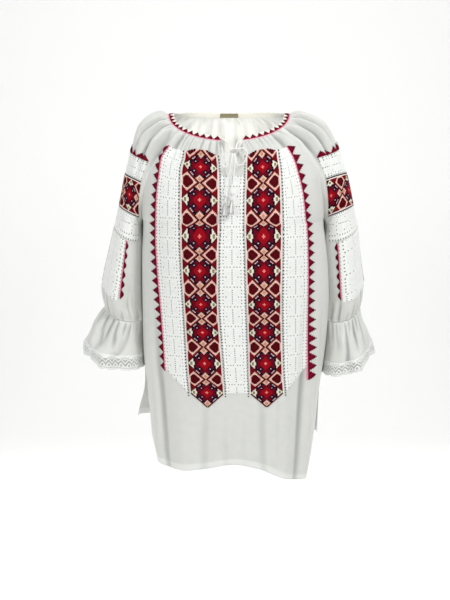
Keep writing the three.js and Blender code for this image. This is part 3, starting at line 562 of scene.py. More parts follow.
def along(rows, key, at, place="level"):
    """A smooth curve through one column of a table, read at any place along another."""
    x, y = rows[place], rows[key]
    at = np.clip(np.asarray(at, float), x[0], x[-1])
    i = np.clip(np.searchsorted(x, at), 1, len(x) - 1)
    p, before, after = i - 1, np.maximum(i - 2, 0), np.minimum(i + 1, len(x) - 1)
    span = x[i] - x[p]
    t = (at - x[p]) / span
    m0 = (y[i] - y[before]) / (x[i] - x[before]) * span
    m1 = (y[after] - y[p]) / (x[after] - x[p]) * span
    t2, t3 = t * t, t * t * t
    values = (2 * t3 - 3 * t2 + 1) * y[p] + (3 * t2 - 2 * t3) * y[i]
    return values + (t3 - 2 * t2 + t) * m0 + (t3 - t2) * m1


def smooth(x, low, high):
    t = np.clip((np.asarray(x, float) - low) / (high - low), 0, 1)
    return t * t * (3 - 2 * t)


# %% The cut's measures: sleeves and ruffles
SECTION = "level outX outZ halfX rise midY front frontDrop back backDrop open"
# Both arms share their rise, back and opening, and differ in how they hang.
ARM = table("level rise midY back backDrop open", [
    [0, 0, 0, 75, 7, 33], [1, 2, 1, 73, 17, 42], [2, 8, 4, 69, 17, 52], [3, 16, 7, 63, 0, 66],
    [4, 18, 9, 57, -8, 82], [5, 16, 10, 53, -12, 98], [6, 14, 10, 50, -14, 118],
    [7, 13, 10, 48, -12, 142], [8, 8, 10, 50, -6, 180], [9, 13, 10, 52, -6, 180],
    [10, 12, 10, 52, -6, 180], [11, 11, 10, 52, -6, 180], [12, 11, 10, 51, -6, 180],
    [13, 10, 10, 46, -6, 180],
])
HANG = "level outX outZ halfX front frontDrop"
SLEEVE = {
    "right": {**ARM, **table(HANG, [
        [0, 112, -1, 112, 95, 47.4], [1, 140, -5, 109, 86, 63], [2, 168, -22, 117, 82, 50],
        [3, 180, -55, 79, 75, 17], [4, 188, -90, 48, 68, 1], [5, 195, -118, 36, 63, -2],
        [6, 200, -145, 28, 59, -4], [7, 205, -168, 24.6, 55, 0], [8, 209, -186, 24, 54, 8],
        [9, 216, -216, 26, 56, 12], [10, 226, -258, 30.5, 56, 14],
        [11, 235.5, -298, 35, 56, 15], [12, 238.5, -324, 36.5, 55, 15],
        [13, 230, -359, 32.5, 48, 14],
    ])},
    "left": {**ARM, **table(HANG, [
        [0, 112, -1, 112, 95, 47.4], [1, 144, -4, 101, 85, 53], [2, 178, -18, 114, 81, 43],
        [3, 199, -50, 89, 74, 14], [4, 211, -88, 59, 68, -4], [5, 221, -118, 46.5, 63, -7],
        [6, 227, -145, 36.8, 59, -8], [7, 232, -168, 31.3, 55, -2], [8, 236, -186, 29.5, 54, 8],
        [9, 241.5, -216, 29.2, 56, 12], [10, 246, -258, 30, 56, 14],
        [11, 250, -298, 31, 56, 15], [12, 252.5, -324, 31.5, 55, 15],
        [13, 243, -359, 27, 48, 14],
    ])},
}
RUFFLE = {
    "right": table(SECTION, [
        [0, 230, -359, 32.5, 10, 10, 48, 14, 46, -6, 180],
        [0.25, 249, -386, 42, 11, 10, 58, 14, 54, -5, 180],
        [0.5, 258, -404, 47, 10, 10, 64, 12, 60, -4, 180],
        [0.75, 265, -418, 51, 9, 10, 69, 9, 65, -4, 180],
        [1, 269, -430, 53, 8, 10, 73, 7, 69, -4, 180],
        [1.25, 267, -455, 52, 8, 10, 74, 8, 70, -4, 180],
    ]),
    "left": table(SECTION, [
        [0, 243, -359, 27, 10, 10, 48, 14, 46, -6, 180],
        [0.25, 250, -381, 31, 11, 10, 56, 15, 53, -5, 180],
        [0.5, 258, -399, 35.5, 12, 10, 62, 14, 59, -4, 180],
        [0.75, 263, -416, 38.5, 13, 10, 67, 12, 64, -4, 180],
        [1, 266.5, -431, 41, 14, 10, 71, 10, 68, -4, 180],
        [1.25, 269, -453, 43, 15, 10, 73, 11, 70, -4, 180],
    ]),
}
SIDE = {"right": -1, "left": 1}


def section_point(rows, side, level, turn):
    """A point round a sleeve: turn is 0 on the outer ridge, 1 at the front seam, -1 behind."""
    at = {key: along(rows, key, level) for key in SECTION.split()[1:]}
    angle = np.radians(at["open"]) * turn
    c, s = np.cos(angle), np.sin(angle)
    deep = np.where(s > 0, at["front"], at["back"])
    drop = np.where(s > 0, at["frontDrop"], at["backDrop"])
    x = side * (at["outX"] + at["halfX"] * (c - 1))
    y = at["midY"] - deep * s
    z = at["outZ"] + at["rise"] * (c - 1) - drop * np.abs(s)
    return np.stack([x + 0 * y, y, z], -1)


# %% The cut's measures: front and back
ARMPIT, ELBOW, SLIT_END, SIDE_SLIT, FRONT_HEM, BACK_HEM = 8, 13, 3, 13, 17, 16
HEM_DIP_START = 14.4
TORSO_POWER = 2.4
YOKE = table("level frontY frontZ backY backZ sweep power", [
    [0, -95, -48.4, 75, -8, 0.838, 2],
    [1, -102, -66, 82, -24, 0.86, 2.05],
    [2, -109, -90, 88, -48, 0.88, 2.1],
    [3, -114, -110, 93, -75, 0.9, 2.15],
    [4, -118, -130, 97, -102, 0.92, 2.2],
    [5, -121.5, -150, 100, -126, 0.95, 2.25],
    [6, -125, -172, 103, -155, 0.975, 2.3],
    [7, -127, -191, 105, -182, 0.992, 2.35],
    [8, -128, -204, 106, -204, 1, 2.4],
])
TORSO = "level z rightX leftX sideY midY"
# As far as the side slits the front and the back share their edges.
SHARED_EDGES = [
    [8, -204, -161, 177, 10], [9, -245, -160, 180, 9], [10, -300, -159.5, 183.5, 7],
    [11, -350, -159, 184.5, 6], [12, -405, -158.5, 181, 5], [13, -464, -157, 175, 4],
]


def panel_table(depths, below):
    """The shared edges with the depth of a panel's middle, and its own rows below the side slits."""
    return table(TORSO, [[*edge, depth] for edge, depth in zip(SHARED_EDGES, depths)] + below)


PANEL = {
    "front": panel_table([-128, -130, -129, -126, -122, -119.5], [
        [14, -505, -154, 171, 0, -117.5], [15, -560, -149.5, 165, -8, -115],
        [16, -610, -145.5, 157, -16, -111.5], [17, -640, -140, 150, -22, -108.5],
    ]),
    "back": panel_table([106, 107, 104, 101, 102, 105], [
        [14, -505, -159, 172.5, 8, 107], [15, -552, -168, 171, 22, 107],
        [16, -600, -175, 169.5, 32, 104],
    ]),
}
HEM_LINE = {
    "front": table("at z", [
        [-1, -622], [-0.93, -642], [-0.75, -652], [-0.4, -650], [0.02, -639],
        [0.3, -647], [0.62, -666], [0.85, -676], [0.96, -672], [1, -658],
    ]),
    "back": table("at z", [[-1, -577], [-0.5, -592], [0.2, -601], [1, -609]]),
}
LINES = table("level tipR trimR outerR innerR slitR slitL innerL outerL trimL tipL", [
    [0, -84, -80, -68, -26, -15, 25, 34, 72, 82, 87],
    [1, -103, -99, -77, -23, -11, 17, 31, 84, 100, 105],
    [2, -119, -114, -81, -20, -6, 8, 30.5, 88, 112, 120],
    [3, -131, -123, -86, -19, -0.5, -0.5, 30, 91, 120, 131],
    [5, -140, -131, -87, -18.5, 2, 2, 28.5, 93, 133, 143],
    [8, -144, -133.5, -87, -18.5, 3, 3, 28, 94.5, 141, 152],
    [9, -142, -132.5, -86.5, -20, 4, 4, 29.5, 94.5, 143, 154],
    [11, -135, -125, -81, -20, 6, 6, 32.5, 94, 144.5, 155],
    [13, -127, -118, -75, -12, 12, 12, 36, 97, 144.5, 155],
    [14.4, -125, -116, -70, -8.5, 15, 15, 38, 100, 143, 153],
    [17, -118, -110, -66, -8, 16, 16, 40, 99, 135, 144],
])


def fall_back(across, sweep, power):
    """How far a row's arc has fallen back from its middle, at -1 to 1 across the panel."""
    def arc(x):
        return 1 - (1 - np.minimum(np.abs(x), 1) ** power) ** (1 / power)
    return arc(across * sweep) / arc(sweep)


def panel_sides(face, level):
    """The x of a panel's right and left edges on a level."""
    turn = 1 if face == "front" else -1
    level = np.asarray(level, float)
    right = section_point(SLEEVE["right"], -1, np.minimum(level, ARMPIT), turn)[..., 0]
    left = section_point(SLEEVE["left"], 1, np.minimum(level, ARMPIT), turn)[..., 0]
    front = (face == "front") | (level <= SIDE_SLIT)
    low = [np.where(front, along(PANEL["front"], key, level), along(PANEL[face], key, level))
           for key in ("rightX", "leftX", "sideY")]
    return (np.where(level <= ARMPIT, right, low[0]), np.where(level <= ARMPIT, left, low[1]), low[2])


def panel_point(face, level, x):
    """A point of the smooth front or back, at x on a level."""
    level, x = np.broadcast_arrays(np.asarray(level, float), np.asarray(x, float))
    turn = 1 if face == "front" else -1
    right_x, left_x, side_y = panel_sides(face, level)
    across = np.clip((2 * x - left_x - right_x) / (left_x - right_x), -1, 1)
    # Above the armpits the row runs between the two raglan seams.
    high = np.minimum(level, ARMPIT)
    right = section_point(SLEEVE["right"], -1, high, turn)
    left = section_point(SLEEVE["left"], 1, high, turn)
    seam = right + (left - right) * ((across + 1) / 2)[..., None]
    back = fall_back(across, along(YOKE, "sweep", high), along(YOKE, "power", high))
    mid_y, mid_z = along(YOKE, face + "Y", high), along(YOKE, face + "Z", high)
    y, z = mid_y + (seam[..., 1] - mid_y) * back, mid_z + (seam[..., 2] - mid_z) * back
    upper = np.stack([seam[..., 0], y, z], -1)
    # Below them it is one flattened arc from side to side, which dips with the hem.
    rows, hem = PANEL[face], FRONT_HEM if face == "front" else BACK_HEM
    back = fall_back(across, 1, TORSO_POWER)
    hem_z = along(HEM_LINE[face], "z", across, "at") - rows["z"][-1]
    z = along(rows, "z", level) + smooth(level, HEM_DIP_START, hem) * hem_z
    z = z + 2 * back * (1 - smooth(level, ARMPIT, ARMPIT + 1))
    mid_y = along(rows, "midY", level)
    lower_x = (left_x + right_x) / 2 + (left_x - right_x) / 2 * across
    lower = np.stack([lower_x, mid_y + (side_y - mid_y) * back, z], -1)
    return np.where((level <= ARMPIT)[..., None], upper, lower)

# %% [markdown]
# ## Gathers and folds
# A drawstring or an elastic crowds the cloth into many small ridges that start straight at the
# seam, merge after a few centimetres and die out. Larger folds hang from the shoulders and
# towards the hems. Each is laid as a soft ridge or trough on a line of its own, which keeps them
# uneven and in place, where a cloth simulation would move the bands of embroidery with them.
# Round the neck one coordinate, the place round the neckline in millimetres, runs through the
# front, both sleeves and the back, so that a fold crosses a raglan seam unbroken.

# %% Laying folds
RING = 610.0  # once round the neckline, in units of about a millimetre
RING_START = {"front": -105.0, "left": 105.0, "back": 205.0, "right": 405.0}
RING_LENGTH = {"front": 210.0, "left": 100.0, "back": 200.0, "right": 100.0}


def creases(rows, level, at, period=None):
    """Height of the folds. Each runs from one place to another and fades in and out."""
    level, at = np.broadcast_arrays(np.asarray(level, float), np.asarray(at, float))
    height = np.zeros(level.shape)
    for l0, a0, l1, a1, width, depth, start, fade in rows:
        t = (level - l0) / (l1 - l0)
        near = (t > 0) & (t < 1)
        t = t[near]
        away = at[near] - (a0 + (a1 - a0) * t)
        if period:
            away = (away + period / 2) % period - period / 2
        ends = smooth(t, 0, start) * (1 - smooth(t, fade, 1))
        height[near] += depth * ends * np.exp(-((away / width) ** 2))
    return height


rng = np.random.default_rng(11)
NECK_GATHERS = []
count = 92
for k in range(count):
    place = -105 + (k + rng.uniform(-0.32, 0.32)) * RING / count
    over_sleeve = 105 < place % RING < 205 or place % RING > 405
    reach = rng.uniform(1.6, 3.9) if over_sleeve else rng.uniform(1.1, 2.1)
    depth = rng.uniform(2.6, 5.0) if over_sleeve else rng.uniform(2.6, 4.8)
    end, width = place + rng.uniform(-2, 2), rng.uniform(1.9, 2.7)
    NECK_GATHERS.append([-0.03, place, reach, end, width, depth, 0.12, 0.25])

# Folds from the neckband over the shoulder: place in turns of the sleeve, 1 at its front seam.
SHOULDER_FOLDS = [
    (0.0, 0.97, 5.0, 0.93, 3.8, -10.5), (0.0, 0.80, 4.4, 0.80, 4.4, 9.5),
    (0.1, 0.62, 5.4, 0.66, 4.0, -10.5), (0.0, 0.47, 3.4, 0.47, 3.8, 8.0),
    (0.1, 0.32, 4.0, 0.30, 3.8, -8.5), (0.0, 0.14, 3.0, 0.16, 4.8, 5.9),
    (0.1, -0.04, 3.6, -0.02, 4.2, -5.7), (0.0, -0.22, 3.0, -0.20, 4.6, 6.5),
    (0.2, -0.42, 4.2, -0.46, 4.6, -7.0), (0.0, -0.62, 3.6, -0.64, 5.0, 7.6),
    (0.1, -0.84, 5.0, -0.86, 4.8, -8.1),
]
LONG_FOLDS = []
for side, lean in (("right", 0.0), ("left", 0.05)):
    for l0, t0, l1, t1, width, depth in SHOULDER_FOLDS:
        at = [RING_START[side] + 50 * (1 + t + lean if side == "right" else 1 - t + lean) for t in (t0, t1)]
        LONG_FOLDS.append([l0, at[0], l1, at[1], width, depth, 0.2, 0.35])
for place, reach, depth in ((-97, 4.5, 5), (-86, 3, -4), (94, 4.2, 5), (83, 3, -4), (238, 5.5, 8),
                            (262, 4, -7), (289, 6.5, 7), (318, 5, -7), (345, 6, 7.5), (372, 4.6, -8)):
    LONG_FOLDS.append([0.0, place, reach, place * 1.01, 5.0, depth, 0.2, 0.3])
print("gathers round the neck:", len(NECK_GATHERS), "long folds:", len(LONG_FOLDS))


def neck_folds(level, place):
    return creases(NECK_GATHERS + LONG_FOLDS, level, place, RING)


# %% Folds of the torso, by x on each level
TORSO_FOLDS = {
    "front": [
        (8.6, -152, 18, -126, 8, 4.5), (10.5, -138, 18, -108, 9, -3.5), (13.4, -88, 18, -80, 13, 2.6),
        (13.2, -42, 18, -48, 15, -2.4), (13.8, 8, 18, 14, 14, 2.4), (13.0, 58, 18, 66, 14, -3.0),
        (12.4, 104, 18, 100, 10, 3.0), (9.5, 146, 18, 120, 8, -4.5), (8.6, 166, 18, 138, 7, 5.5),
    ],
    "back": [
        (6, -120, 17, -132, 12, 8), (8, -92, 17, -98, 10, -6), (5, -58, 17, -64, 11, 7),
        (9, -26, 17, -22, 12, -6), (6, 12, 17, 10, 11, 7), (8, 46, 17, 50, 11, -7),
        (5, 82, 17, 90, 11, 8), (9, 122, 17, 128, 10, -6), (8, 150, 17, 150, 8, 6),
    ],
}
TORSO_FOLDS = {face: [[*row, 0.45, 0.97] for row in rows] for face, rows in TORSO_FOLDS.items()}


# %% [markdown]
# ## A grid for each piece
# Each piece is worked out once as a fine grid of points, 2 to 4 mm apart. The folds are added
# along the normal, which is blended at the raglan seams so that both pieces move the same way.
# The bands, stitches and seams then read their places from the same grid, so they lie on the
# cloth however it folds.

# %% Grid helpers
def grid_normals(points, sign):
    """Unit normals of a grid of points (rows, columns, 3), outwards for the right sign."""
    across, down = np.gradient(points, axis=1), np.gradient(points, axis=0)
    normal = np.cross(across, down) * sign
    return normal / np.maximum(np.linalg.norm(normal, axis=-1, keepdims=True), 1e-9)


def unit(v):
    return v / np.maximum(np.linalg.norm(v, axis=-1, keepdims=True), 1e-9)


def run_length(points):
    """Distance along a line of points, from its first."""
    return np.concatenate([[0], np.cumsum(np.linalg.norm(np.diff(points, axis=0), axis=1))])


def even(values, points, step):
    """Values that put the points of a line about one step apart."""
    lengths = run_length(points)
    count = max(int(round(lengths[-1] / step)), 2)
    return np.interp(np.linspace(0, lengths[-1], count + 1), lengths, values)


def make_grid(name, levels, points, sign, **more):
    grid = {"name": name, "levels": levels, "points": points, "normals": grid_normals(points, sign),
            "sign": sign, **more}
    print(name, "grid", points.shape[:2])
    return grid


def sample(grid, row, column):
    """The point and normal between the grid's own points."""
    points, normals = grid["points"], grid["normals"]
    row, column = np.broadcast_arrays(np.asarray(row, float), np.asarray(column, float))
    i = np.clip(row.astype(int), 0, points.shape[0] - 2)
    j = np.clip(column.astype(int), 0, points.shape[1] - 2)
    u, v = (row - i)[..., None], (column - j)[..., None]
    mix = [(1 - u) * (1 - v), (1 - u) * v, u * (1 - v), u * v]
    places = [(i, j), (i, j + 1), (i + 1, j), (i + 1, j + 1)]
    point = sum(m * points[p] for m, p in zip(mix, places))
    return point, unit(sum(m * normals[p] for m, p in zip(mix, places)))


# %% Normals shared along the raglan seams
SEAM_LEVELS = np.linspace(0, ARMPIT, 81)


def surface_normal(point_at, level, at, step, sign):
    across = point_at(level, at + step) - point_at(level, at - step)
    down = point_at(level + 0.02, at) - point_at(level - 0.02, at)
    return unit(np.cross(across, down)) * sign


def seam_normal(side, face):
    panel_x = panel_sides(face, SEAM_LEVELS)[0 if side == "right" else 1] - SIDE[side] * 3.0
    turn = 0.97 if face == "front" else -0.97
    panel = surface_normal(lambda l, x: panel_point(face, l, x), SEAM_LEVELS, panel_x, 1.0,
                           -1 if face == "front" else 1)
    sleeve = surface_normal(lambda l, t: section_point(SLEEVE[side], SIDE[side], l, t),
                            SEAM_LEVELS, turn, 0.01, SIDE[side])
    flip = np.sign((panel * sleeve).sum(-1, keepdims=True) + 1e-9)
    return unit(panel + sleeve * flip)


SEAM_NORMAL = {(side, face): seam_normal(side, face) for side in SIDE for face in ("front", "back")}


def towards_seam(normal, level, distance, side, face, reach=18.0):
    """Turns normals into the shared ones where they come near a raglan seam."""
    shared = SEAM_NORMAL[side, face]
    at_level = np.stack([np.interp(level, SEAM_LEVELS, shared[:, k]) for k in range(3)], -1)
    weight = (1 - smooth(distance, 0, reach)) * (level <= ARMPIT)
    return unit(normal * (1 - weight)[..., None] + at_level * weight[..., None])

# %% [markdown]
# ## The front and the back
# The front is one sheet with a slit down its middle as far as level 3: its grid is two halves
# that share the middle line below the slit. The columns are spaced evenly round the chest, and
# the rows evenly down the middle.

# %% Front grid
STEP = 3.2


def panel_levels(face, hem, step):
    levels = np.linspace(0, hem, 1500)
    middle = panel_point(face, levels, 8.0)
    return even(levels, middle, step)


def spread(face, from_x, to_x, step):
    """Fractions between two x values that are evenly spaced round the panel at the chest."""
    xs = np.linspace(from_x, to_x, 400)
    line = panel_point(face, 9.0, xs)
    return (even(xs, line, step) - from_x) / (to_x - from_x)


front_levels = panel_levels("front", FRONT_HEM, STEP)
slit_row = int(np.argmin(np.abs(front_levels - SLIT_END)))
front_levels[slit_row] = SLIT_END
RIGHT_COLUMNS = spread("front", -160, 4, STEP)
LEFT_COLUMNS = spread("front", 4, 180, STEP)
SPLIT = len(RIGHT_COLUMNS)


def front_x(level, column):
    """The x of a column of the front on a level; the slit lies between two of the columns."""
    right_x, left_x, _ = panel_sides("front", level)
    slit_r, slit_l = along(LINES, "slitR", level), along(LINES, "slitL", level)
    right = np.interp(column, np.arange(SPLIT), RIGHT_COLUMNS)
    left = np.interp(np.asarray(column) - SPLIT, np.arange(len(LEFT_COLUMNS)), LEFT_COLUMNS)
    return np.where(column < SPLIT - 0.5, right_x + (slit_r - right_x) * right,
                    slit_l + (left_x - slit_l) * left)


def front_column(level, x):
    """The column of the front at x on a level."""
    right_x, left_x, _ = panel_sides("front", level)
    slit_r, slit_l = along(LINES, "slitR", level), along(LINES, "slitL", level)
    right = np.interp((x - right_x) / (slit_r - right_x), RIGHT_COLUMNS, np.arange(SPLIT))
    left = SPLIT + np.interp((x - slit_l) / (left_x - slit_l), LEFT_COLUMNS, np.arange(len(LEFT_COLUMNS)))
    return np.where(x <= (slit_r + slit_l) / 2, right, left)


def fold_panel(face, level, x, sign):
    """A point of a panel with its gathers and folds."""
    point = panel_point(face, level, x)
    right_x, left_x, _ = panel_sides(face, level)
    normal = surface_normal(lambda l, u: panel_point(face, l, u), level, x, 0.6, sign)
    gap_right, gap_left = np.abs(x - right_x), np.abs(left_x - x)
    normal = towards_seam(normal, level, gap_right, "right", face)
    normal = towards_seam(normal, level, gap_left, "left", face)
    part = (x - right_x) / (left_x - right_x)
    if face == "back":
        part = 1 - part
    height = neck_folds(level, RING_START[face] + RING_LENGTH[face] * part)
    sides = smooth(np.minimum(gap_right, gap_left), 0, 14)
    height = height + creases(TORSO_FOLDS[face], level, x) * np.where(level > ARMPIT, sides, 1)
    beside = smooth(level, ARMPIT, 9.5) * (1 - smooth(level, 12.5, 14.5))
    outwards = (smooth(-gap_right, -40, 0) - smooth(-gap_left, -40, 0)) * beside
    point = point + outwards[..., None] * (-4.0, 0, 0)
    return point + normal * height[..., None]


def ease(points, levels):
    """Smooths the step at the end of the raglan seams, away from the seams themselves."""
    soft = points.copy()
    for _ in range(30):
        soft[1:-1] = (soft[:-2] + 2 * soft[1:-1] + soft[2:]) / 4
    columns = np.arange(points.shape[1])
    inside = smooth(np.minimum(columns, columns[::-1]), 1, 7)
    weight = (np.exp(-(((levels - ARMPIT) / 0.7) ** 4))[:, None] * inside)[..., None]
    return points * (1 - weight) + soft * weight


level_grid, column_grid = np.meshgrid(front_levels, np.arange(SPLIT + len(LEFT_COLUMNS)), indexing="ij")
folded = fold_panel("front", level_grid, front_x(level_grid, column_grid), -1)
front_grid = make_grid("front", front_levels, ease(folded, front_levels), -1)
for half in (slice(0, SPLIT), slice(SPLIT, None)):
    front_grid["normals"][:, half] = grid_normals(front_grid["points"][:, half], -1)


def on_front(level, x):
    row = np.interp(level, front_levels, np.arange(len(front_levels)))
    return sample(front_grid, row, front_column(level, x))


# %% Back grid
back_levels = panel_levels("back", BACK_HEM, 3.6)
BACK_COLUMNS = spread("back", -160, 180, 3.6)
level_grid, part_grid = np.meshgrid(back_levels, BACK_COLUMNS, indexing="ij")
right_x, left_x, _ = panel_sides("back", level_grid)
folded = fold_panel("back", level_grid, right_x + (left_x - right_x) * part_grid, 1)
back_grid = make_grid("back", back_levels, ease(folded, back_levels), 1)

# %% [markdown]
# ## Sleeves and ruffles
# A sleeve starts as an open arch between its two raglan seams and closes into a tube under the
# arm. It is crowded again on the elastic at the elbow, so fine gathers run up from there.
# More of them run down into the ruffle, which starts on the sleeve's gathered end and flares in
# large waves. The waves are damped on the side that hangs against the body.

# %% Sleeve grids
ELBOW_GATHERS = {}
for side in SIDE:
    rng = np.random.default_rng(5 if side == "right" else 8)
    rows = []
    for k in range(30):
        turn = -1 + (k + rng.uniform(-0.3, 0.3)) * 2 / 30
        reach = rng.uniform(0.7, 2.6)
        rows.append([13.02, turn, 13 - reach, turn + rng.uniform(-0.02, 0.02), 0.026,
                     rng.uniform(2.8, 5.4), 0.05, 0.2])
    for k in range(7):
        turn = -0.9 + k * 0.27 + rng.uniform(-0.05, 0.05)
        rows.append([13.0, turn, 9.2 + rng.uniform(-0.5, 0.8), turn + rng.uniform(-0.12, 0.12), 0.085,
                     rng.uniform(2.6, 4.6) * (1 if k % 2 else -1), 0.3, 0.3])
    ELBOW_GATHERS[side] = rows


CLOSE = {"right": 4.5, "left": 8.0}  # how far the arm's inner wall leans towards the body


def fold_sleeve(side, level, turn):
    """A point of a sleeve with its gathers and folds."""
    rows, sign = SLEEVE[side], SIDE[side]
    point = section_point(rows, sign, level, turn)
    normal = surface_normal(lambda l, t: section_point(rows, sign, l, t), level,
                            np.clip(turn, -0.985, 0.985), 0.01, sign)
    gap = (1 - np.abs(turn)) * 45.0
    for face in ("front", "back"):
        near = np.where((turn > 0) == (face == "front"), gap, 99.0)
        normal = towards_seam(normal, level, near, side, face)
    part = (1 + turn) / 2 if side == "right" else (1 - turn) / 2
    height = neck_folds(level, RING_START[side] + RING_LENGTH[side] * part)
    height = height + creases(ELBOW_GATHERS[side], level, turn, 2.0)
    inside = smooth(np.abs(turn), 0.6, 0.85) * smooth(level, ARMPIT, 9)
    # the arm rests against the side, so the inner wall keeps flat and lies close to the body
    return point + normal * (height * (1 - 0.6 * inside) + CLOSE[side] * inside)[..., None]


sleeve_grid = {}
for side in SIDE:
    levels = np.linspace(0, ELBOW, 1200)
    levels = even(levels, section_point(SLEEVE[side], SIDE[side], levels, 0.3), 3.3)
    turns = np.linspace(-1, 1, 2001)
    turns = even(turns, section_point(SLEEVE[side], SIDE[side], 9.0, turns), 2.3)
    level_grid, turn_grid = np.meshgrid(levels, turns, indexing="ij")
    sleeve_grid[side] = make_grid(f"sleeve_{side}", levels, fold_sleeve(side, level_grid, turn_grid),
                                  SIDE[side], turns=turns)


def on_tube(grid, level, turn):
    row = np.interp(level, grid["levels"], np.arange(len(grid["levels"])))
    column = np.interp(turn, grid["turns"], np.arange(len(grid["turns"])))
    return sample(grid, row, column)


def on_sleeve(side, level, turn):
    return on_tube(sleeve_grid[side], level, turn)


# %% Ruffle grids
WAVES = ((5, 6.0, 0.4), (8, 3.0, 1.9))  # waves round the ruffle, their depth and their start
RUFFLE_FOLDS = {}
for side in SIDE:
    rng = np.random.default_rng(21 if side == "right" else 34)
    rows = []
    for k in range(30):
        turn = -1 + (k + rng.uniform(-0.3, 0.3)) * 2 / 30
        rows.append([-0.02, turn, rng.uniform(0.35, 0.95), turn + rng.uniform(-0.02, 0.02), 0.026,
                     rng.uniform(3.0, 5.6), 0.08, 0.2])
    for k in range(9):
        turn = -0.95 + k * 0.22 + rng.uniform(-0.05, 0.05)
        rows.append([0.02, turn, rng.uniform(0.95, 1.5), turn + rng.uniform(-0.07, 0.07), 0.055,
                     rng.uniform(5.0, 9.0) * (1 if k % 2 else -1), 0.3, 0.5])
    RUFFLE_FOLDS[side] = rows


def ruffle_point(side, level, turn):
    """A point of a ruffle. It starts on the gathered end of its sleeve."""
    rows, sign = RUFFLE[side], SIDE[side]
    point = section_point(rows, sign, level, turn)
    middle = section_point(rows, sign, level, 0.0 * turn)
    middle[..., 0] -= sign * along(rows, "halfX", level)
    out = point - middle
    out[..., 2] = 0
    clear = 1 - 0.9 * smooth(np.abs(turn), 0.45, 0.8)
    wave = sum(depth * np.cos(number * turn * math.pi + start) for number, depth, start in WAVES)
    height = wave * clear * np.asarray(level) ** 1.5
    height = height + creases(RUFFLE_FOLDS[side], level, turn, 2.0) * (0.35 + 0.65 * clear)
    inside = smooth(np.abs(turn), 0.6, 0.85) * CLOSE[side]
    point = point + unit(out) * (height + inside)[..., None]
    start, _ = on_sleeve(side, ELBOW, turn)
    join = (1 - smooth(level, 0, 0.08))[..., None]
    return point * (1 - join) + start * join


ruffle_grid = {}
for side in SIDE:
    levels = np.linspace(0, 1.25, 300)
    levels = even(levels, section_point(RUFFLE[side], SIDE[side], levels, 0.3), 3.0)
    hem_row = int(np.argmin(np.abs(levels - 1)))
    levels[hem_row] = 1.0
    turns = np.linspace(-1, 1, 4001)
    turns = even(turns, section_point(RUFFLE[side], SIDE[side], 1.0, turns), 2.2)
    level_grid, turn_grid = np.meshgrid(levels, turns, indexing="ij")
    ruffle_grid[side] = make_grid(f"ruffle_{side}", levels, ruffle_point(side, level_grid, turn_grid),
                                  SIDE[side], turns=turns, hem_row=hem_row)


def on_ruffle(side, level, turn):
    return on_tube(ruffle_grid[side], level, (np.asarray(turn) + 1) % 2 - 1)


# %% Neckband grid, from one edge of the slit round the neck to the other
NECKBAND_WIDTH = 10.5
ring = np.concatenate([
    front_grid["points"][0, SPLIT - 1::-1], sleeve_grid["right"]["points"][0, -2::-1],
    back_grid["points"][0, 1:], sleeve_grid["left"]["points"][0, 1:],
    front_grid["points"][0, -2:SPLIT - 1:-1],
])
ring_places = run_length(ring)
RING_STOPS = np.linspace(0, ring_places[-1], int(ring_places[-1] / 2.2))
foot = np.stack([np.interp(RING_STOPS, ring_places, ring[:, k]) for k in range(3)], -1)
inward = unit(np.stack([-foot[:, 0] / 112, -foot[:, 1] / 95, 0 * foot[:, 0]], -1))
behind, ahead = smooth(foot[:, 1], 0, 75), smooth(-foot[:, 1], 0, 95)
lean = (1 - 0.34 * behind - 0.36 * ahead)[:, None]
rise = (0.15 + 0.7 * behind + 0.6 * ahead)[:, None]
bulge = 0.5 * np.cos(RING_STOPS * 2 * math.pi / 9.5)[:, None]
rows = []
for part in np.linspace(0, 1, 6):
    up = foot + part * NECKBAND_WIDTH * (inward * lean + rise * np.array([0, 0, 1.0]))
    rows.append(up - inward * bulge * math.sin(part * math.pi) * 0.8)
neckband_grid = make_grid("neckband", np.linspace(0, 1, 6), np.array(rows), 1)
outwards = (neckband_grid["normals"][2] * -inward).sum(-1).mean()
if outwards < 0:
    neckband_grid["normals"] *= -1
    neckband_grid["sign"] = -1
print("neckband length mm:", round(float(ring_places[-1]), 1))


def on_neckband(part, place):
    column = np.interp(place, RING_STOPS, np.arange(len(RING_STOPS)))
    return sample(neckband_grid, np.asarray(part) * 5, column)


# %% [markdown]
# ## The cloth pieces
# Each grid becomes a mesh with a thin wall. Its UV map holds lengths measured along the cloth,
# across and down, so the weave keeps its size. Along every hem and seam the cloth lies double,
# and there a number stored on the points rises: thin white cotton looks whiter where two layers
# meet. It rises at the back of the neck too, as painted light: the inside there is painted pale
# and smooth, though no second layer is built there. "shade" is 1 at the bottom of the deepest
# gathers, where little light comes back out, and it darkens the colour there as painted shade.

# %% From a grid to a sheet
VOILE = 0.0006  # thickness of the drawn cloth, about three times that of real voile


def troughs(grid, reach=4):
    """How deep each point lies between the folds beside it, from 0 to 1; it darkens the colour as painted
    shade.
    """
    points = grid["points"]
    wide = np.pad(points, ((0, 0), (reach, reach), (0, 0)), mode="reflect", reflect_type="odd")
    mean = sum(wide[:, k:k + points.shape[1]] for k in range(2 * reach + 1)) / (2 * reach + 1)
    return np.clip(((mean - points) * grid["normals"]).sum(-1) / 1.6, 0, 1)


def nape_painted_light(grid):
    """1 at the back of the neck, 0 lower down; there the cloth is painted pale as light, with less painted
    shade.
    """
    if grid["name"] != "back":
        return 0
    return (1 - smooth(grid["levels"], 1.6, 2.4))[:, None]


def edge_distance(grid):
    """Distances of each point from the four edges of its grid, along the cloth."""
    points = grid["points"]
    steps_across = np.linalg.norm(np.diff(points, axis=1), axis=2)
    steps_down = np.linalg.norm(np.diff(points, axis=0), axis=2)
    across = np.concatenate([np.zeros((len(points), 1)), np.cumsum(steps_across, 1)], 1)
    down = np.concatenate([np.zeros((1, points.shape[1])), np.cumsum(steps_down, 0)], 0)
    return across, across[:, -1:] - across, down, down[-1:] - down


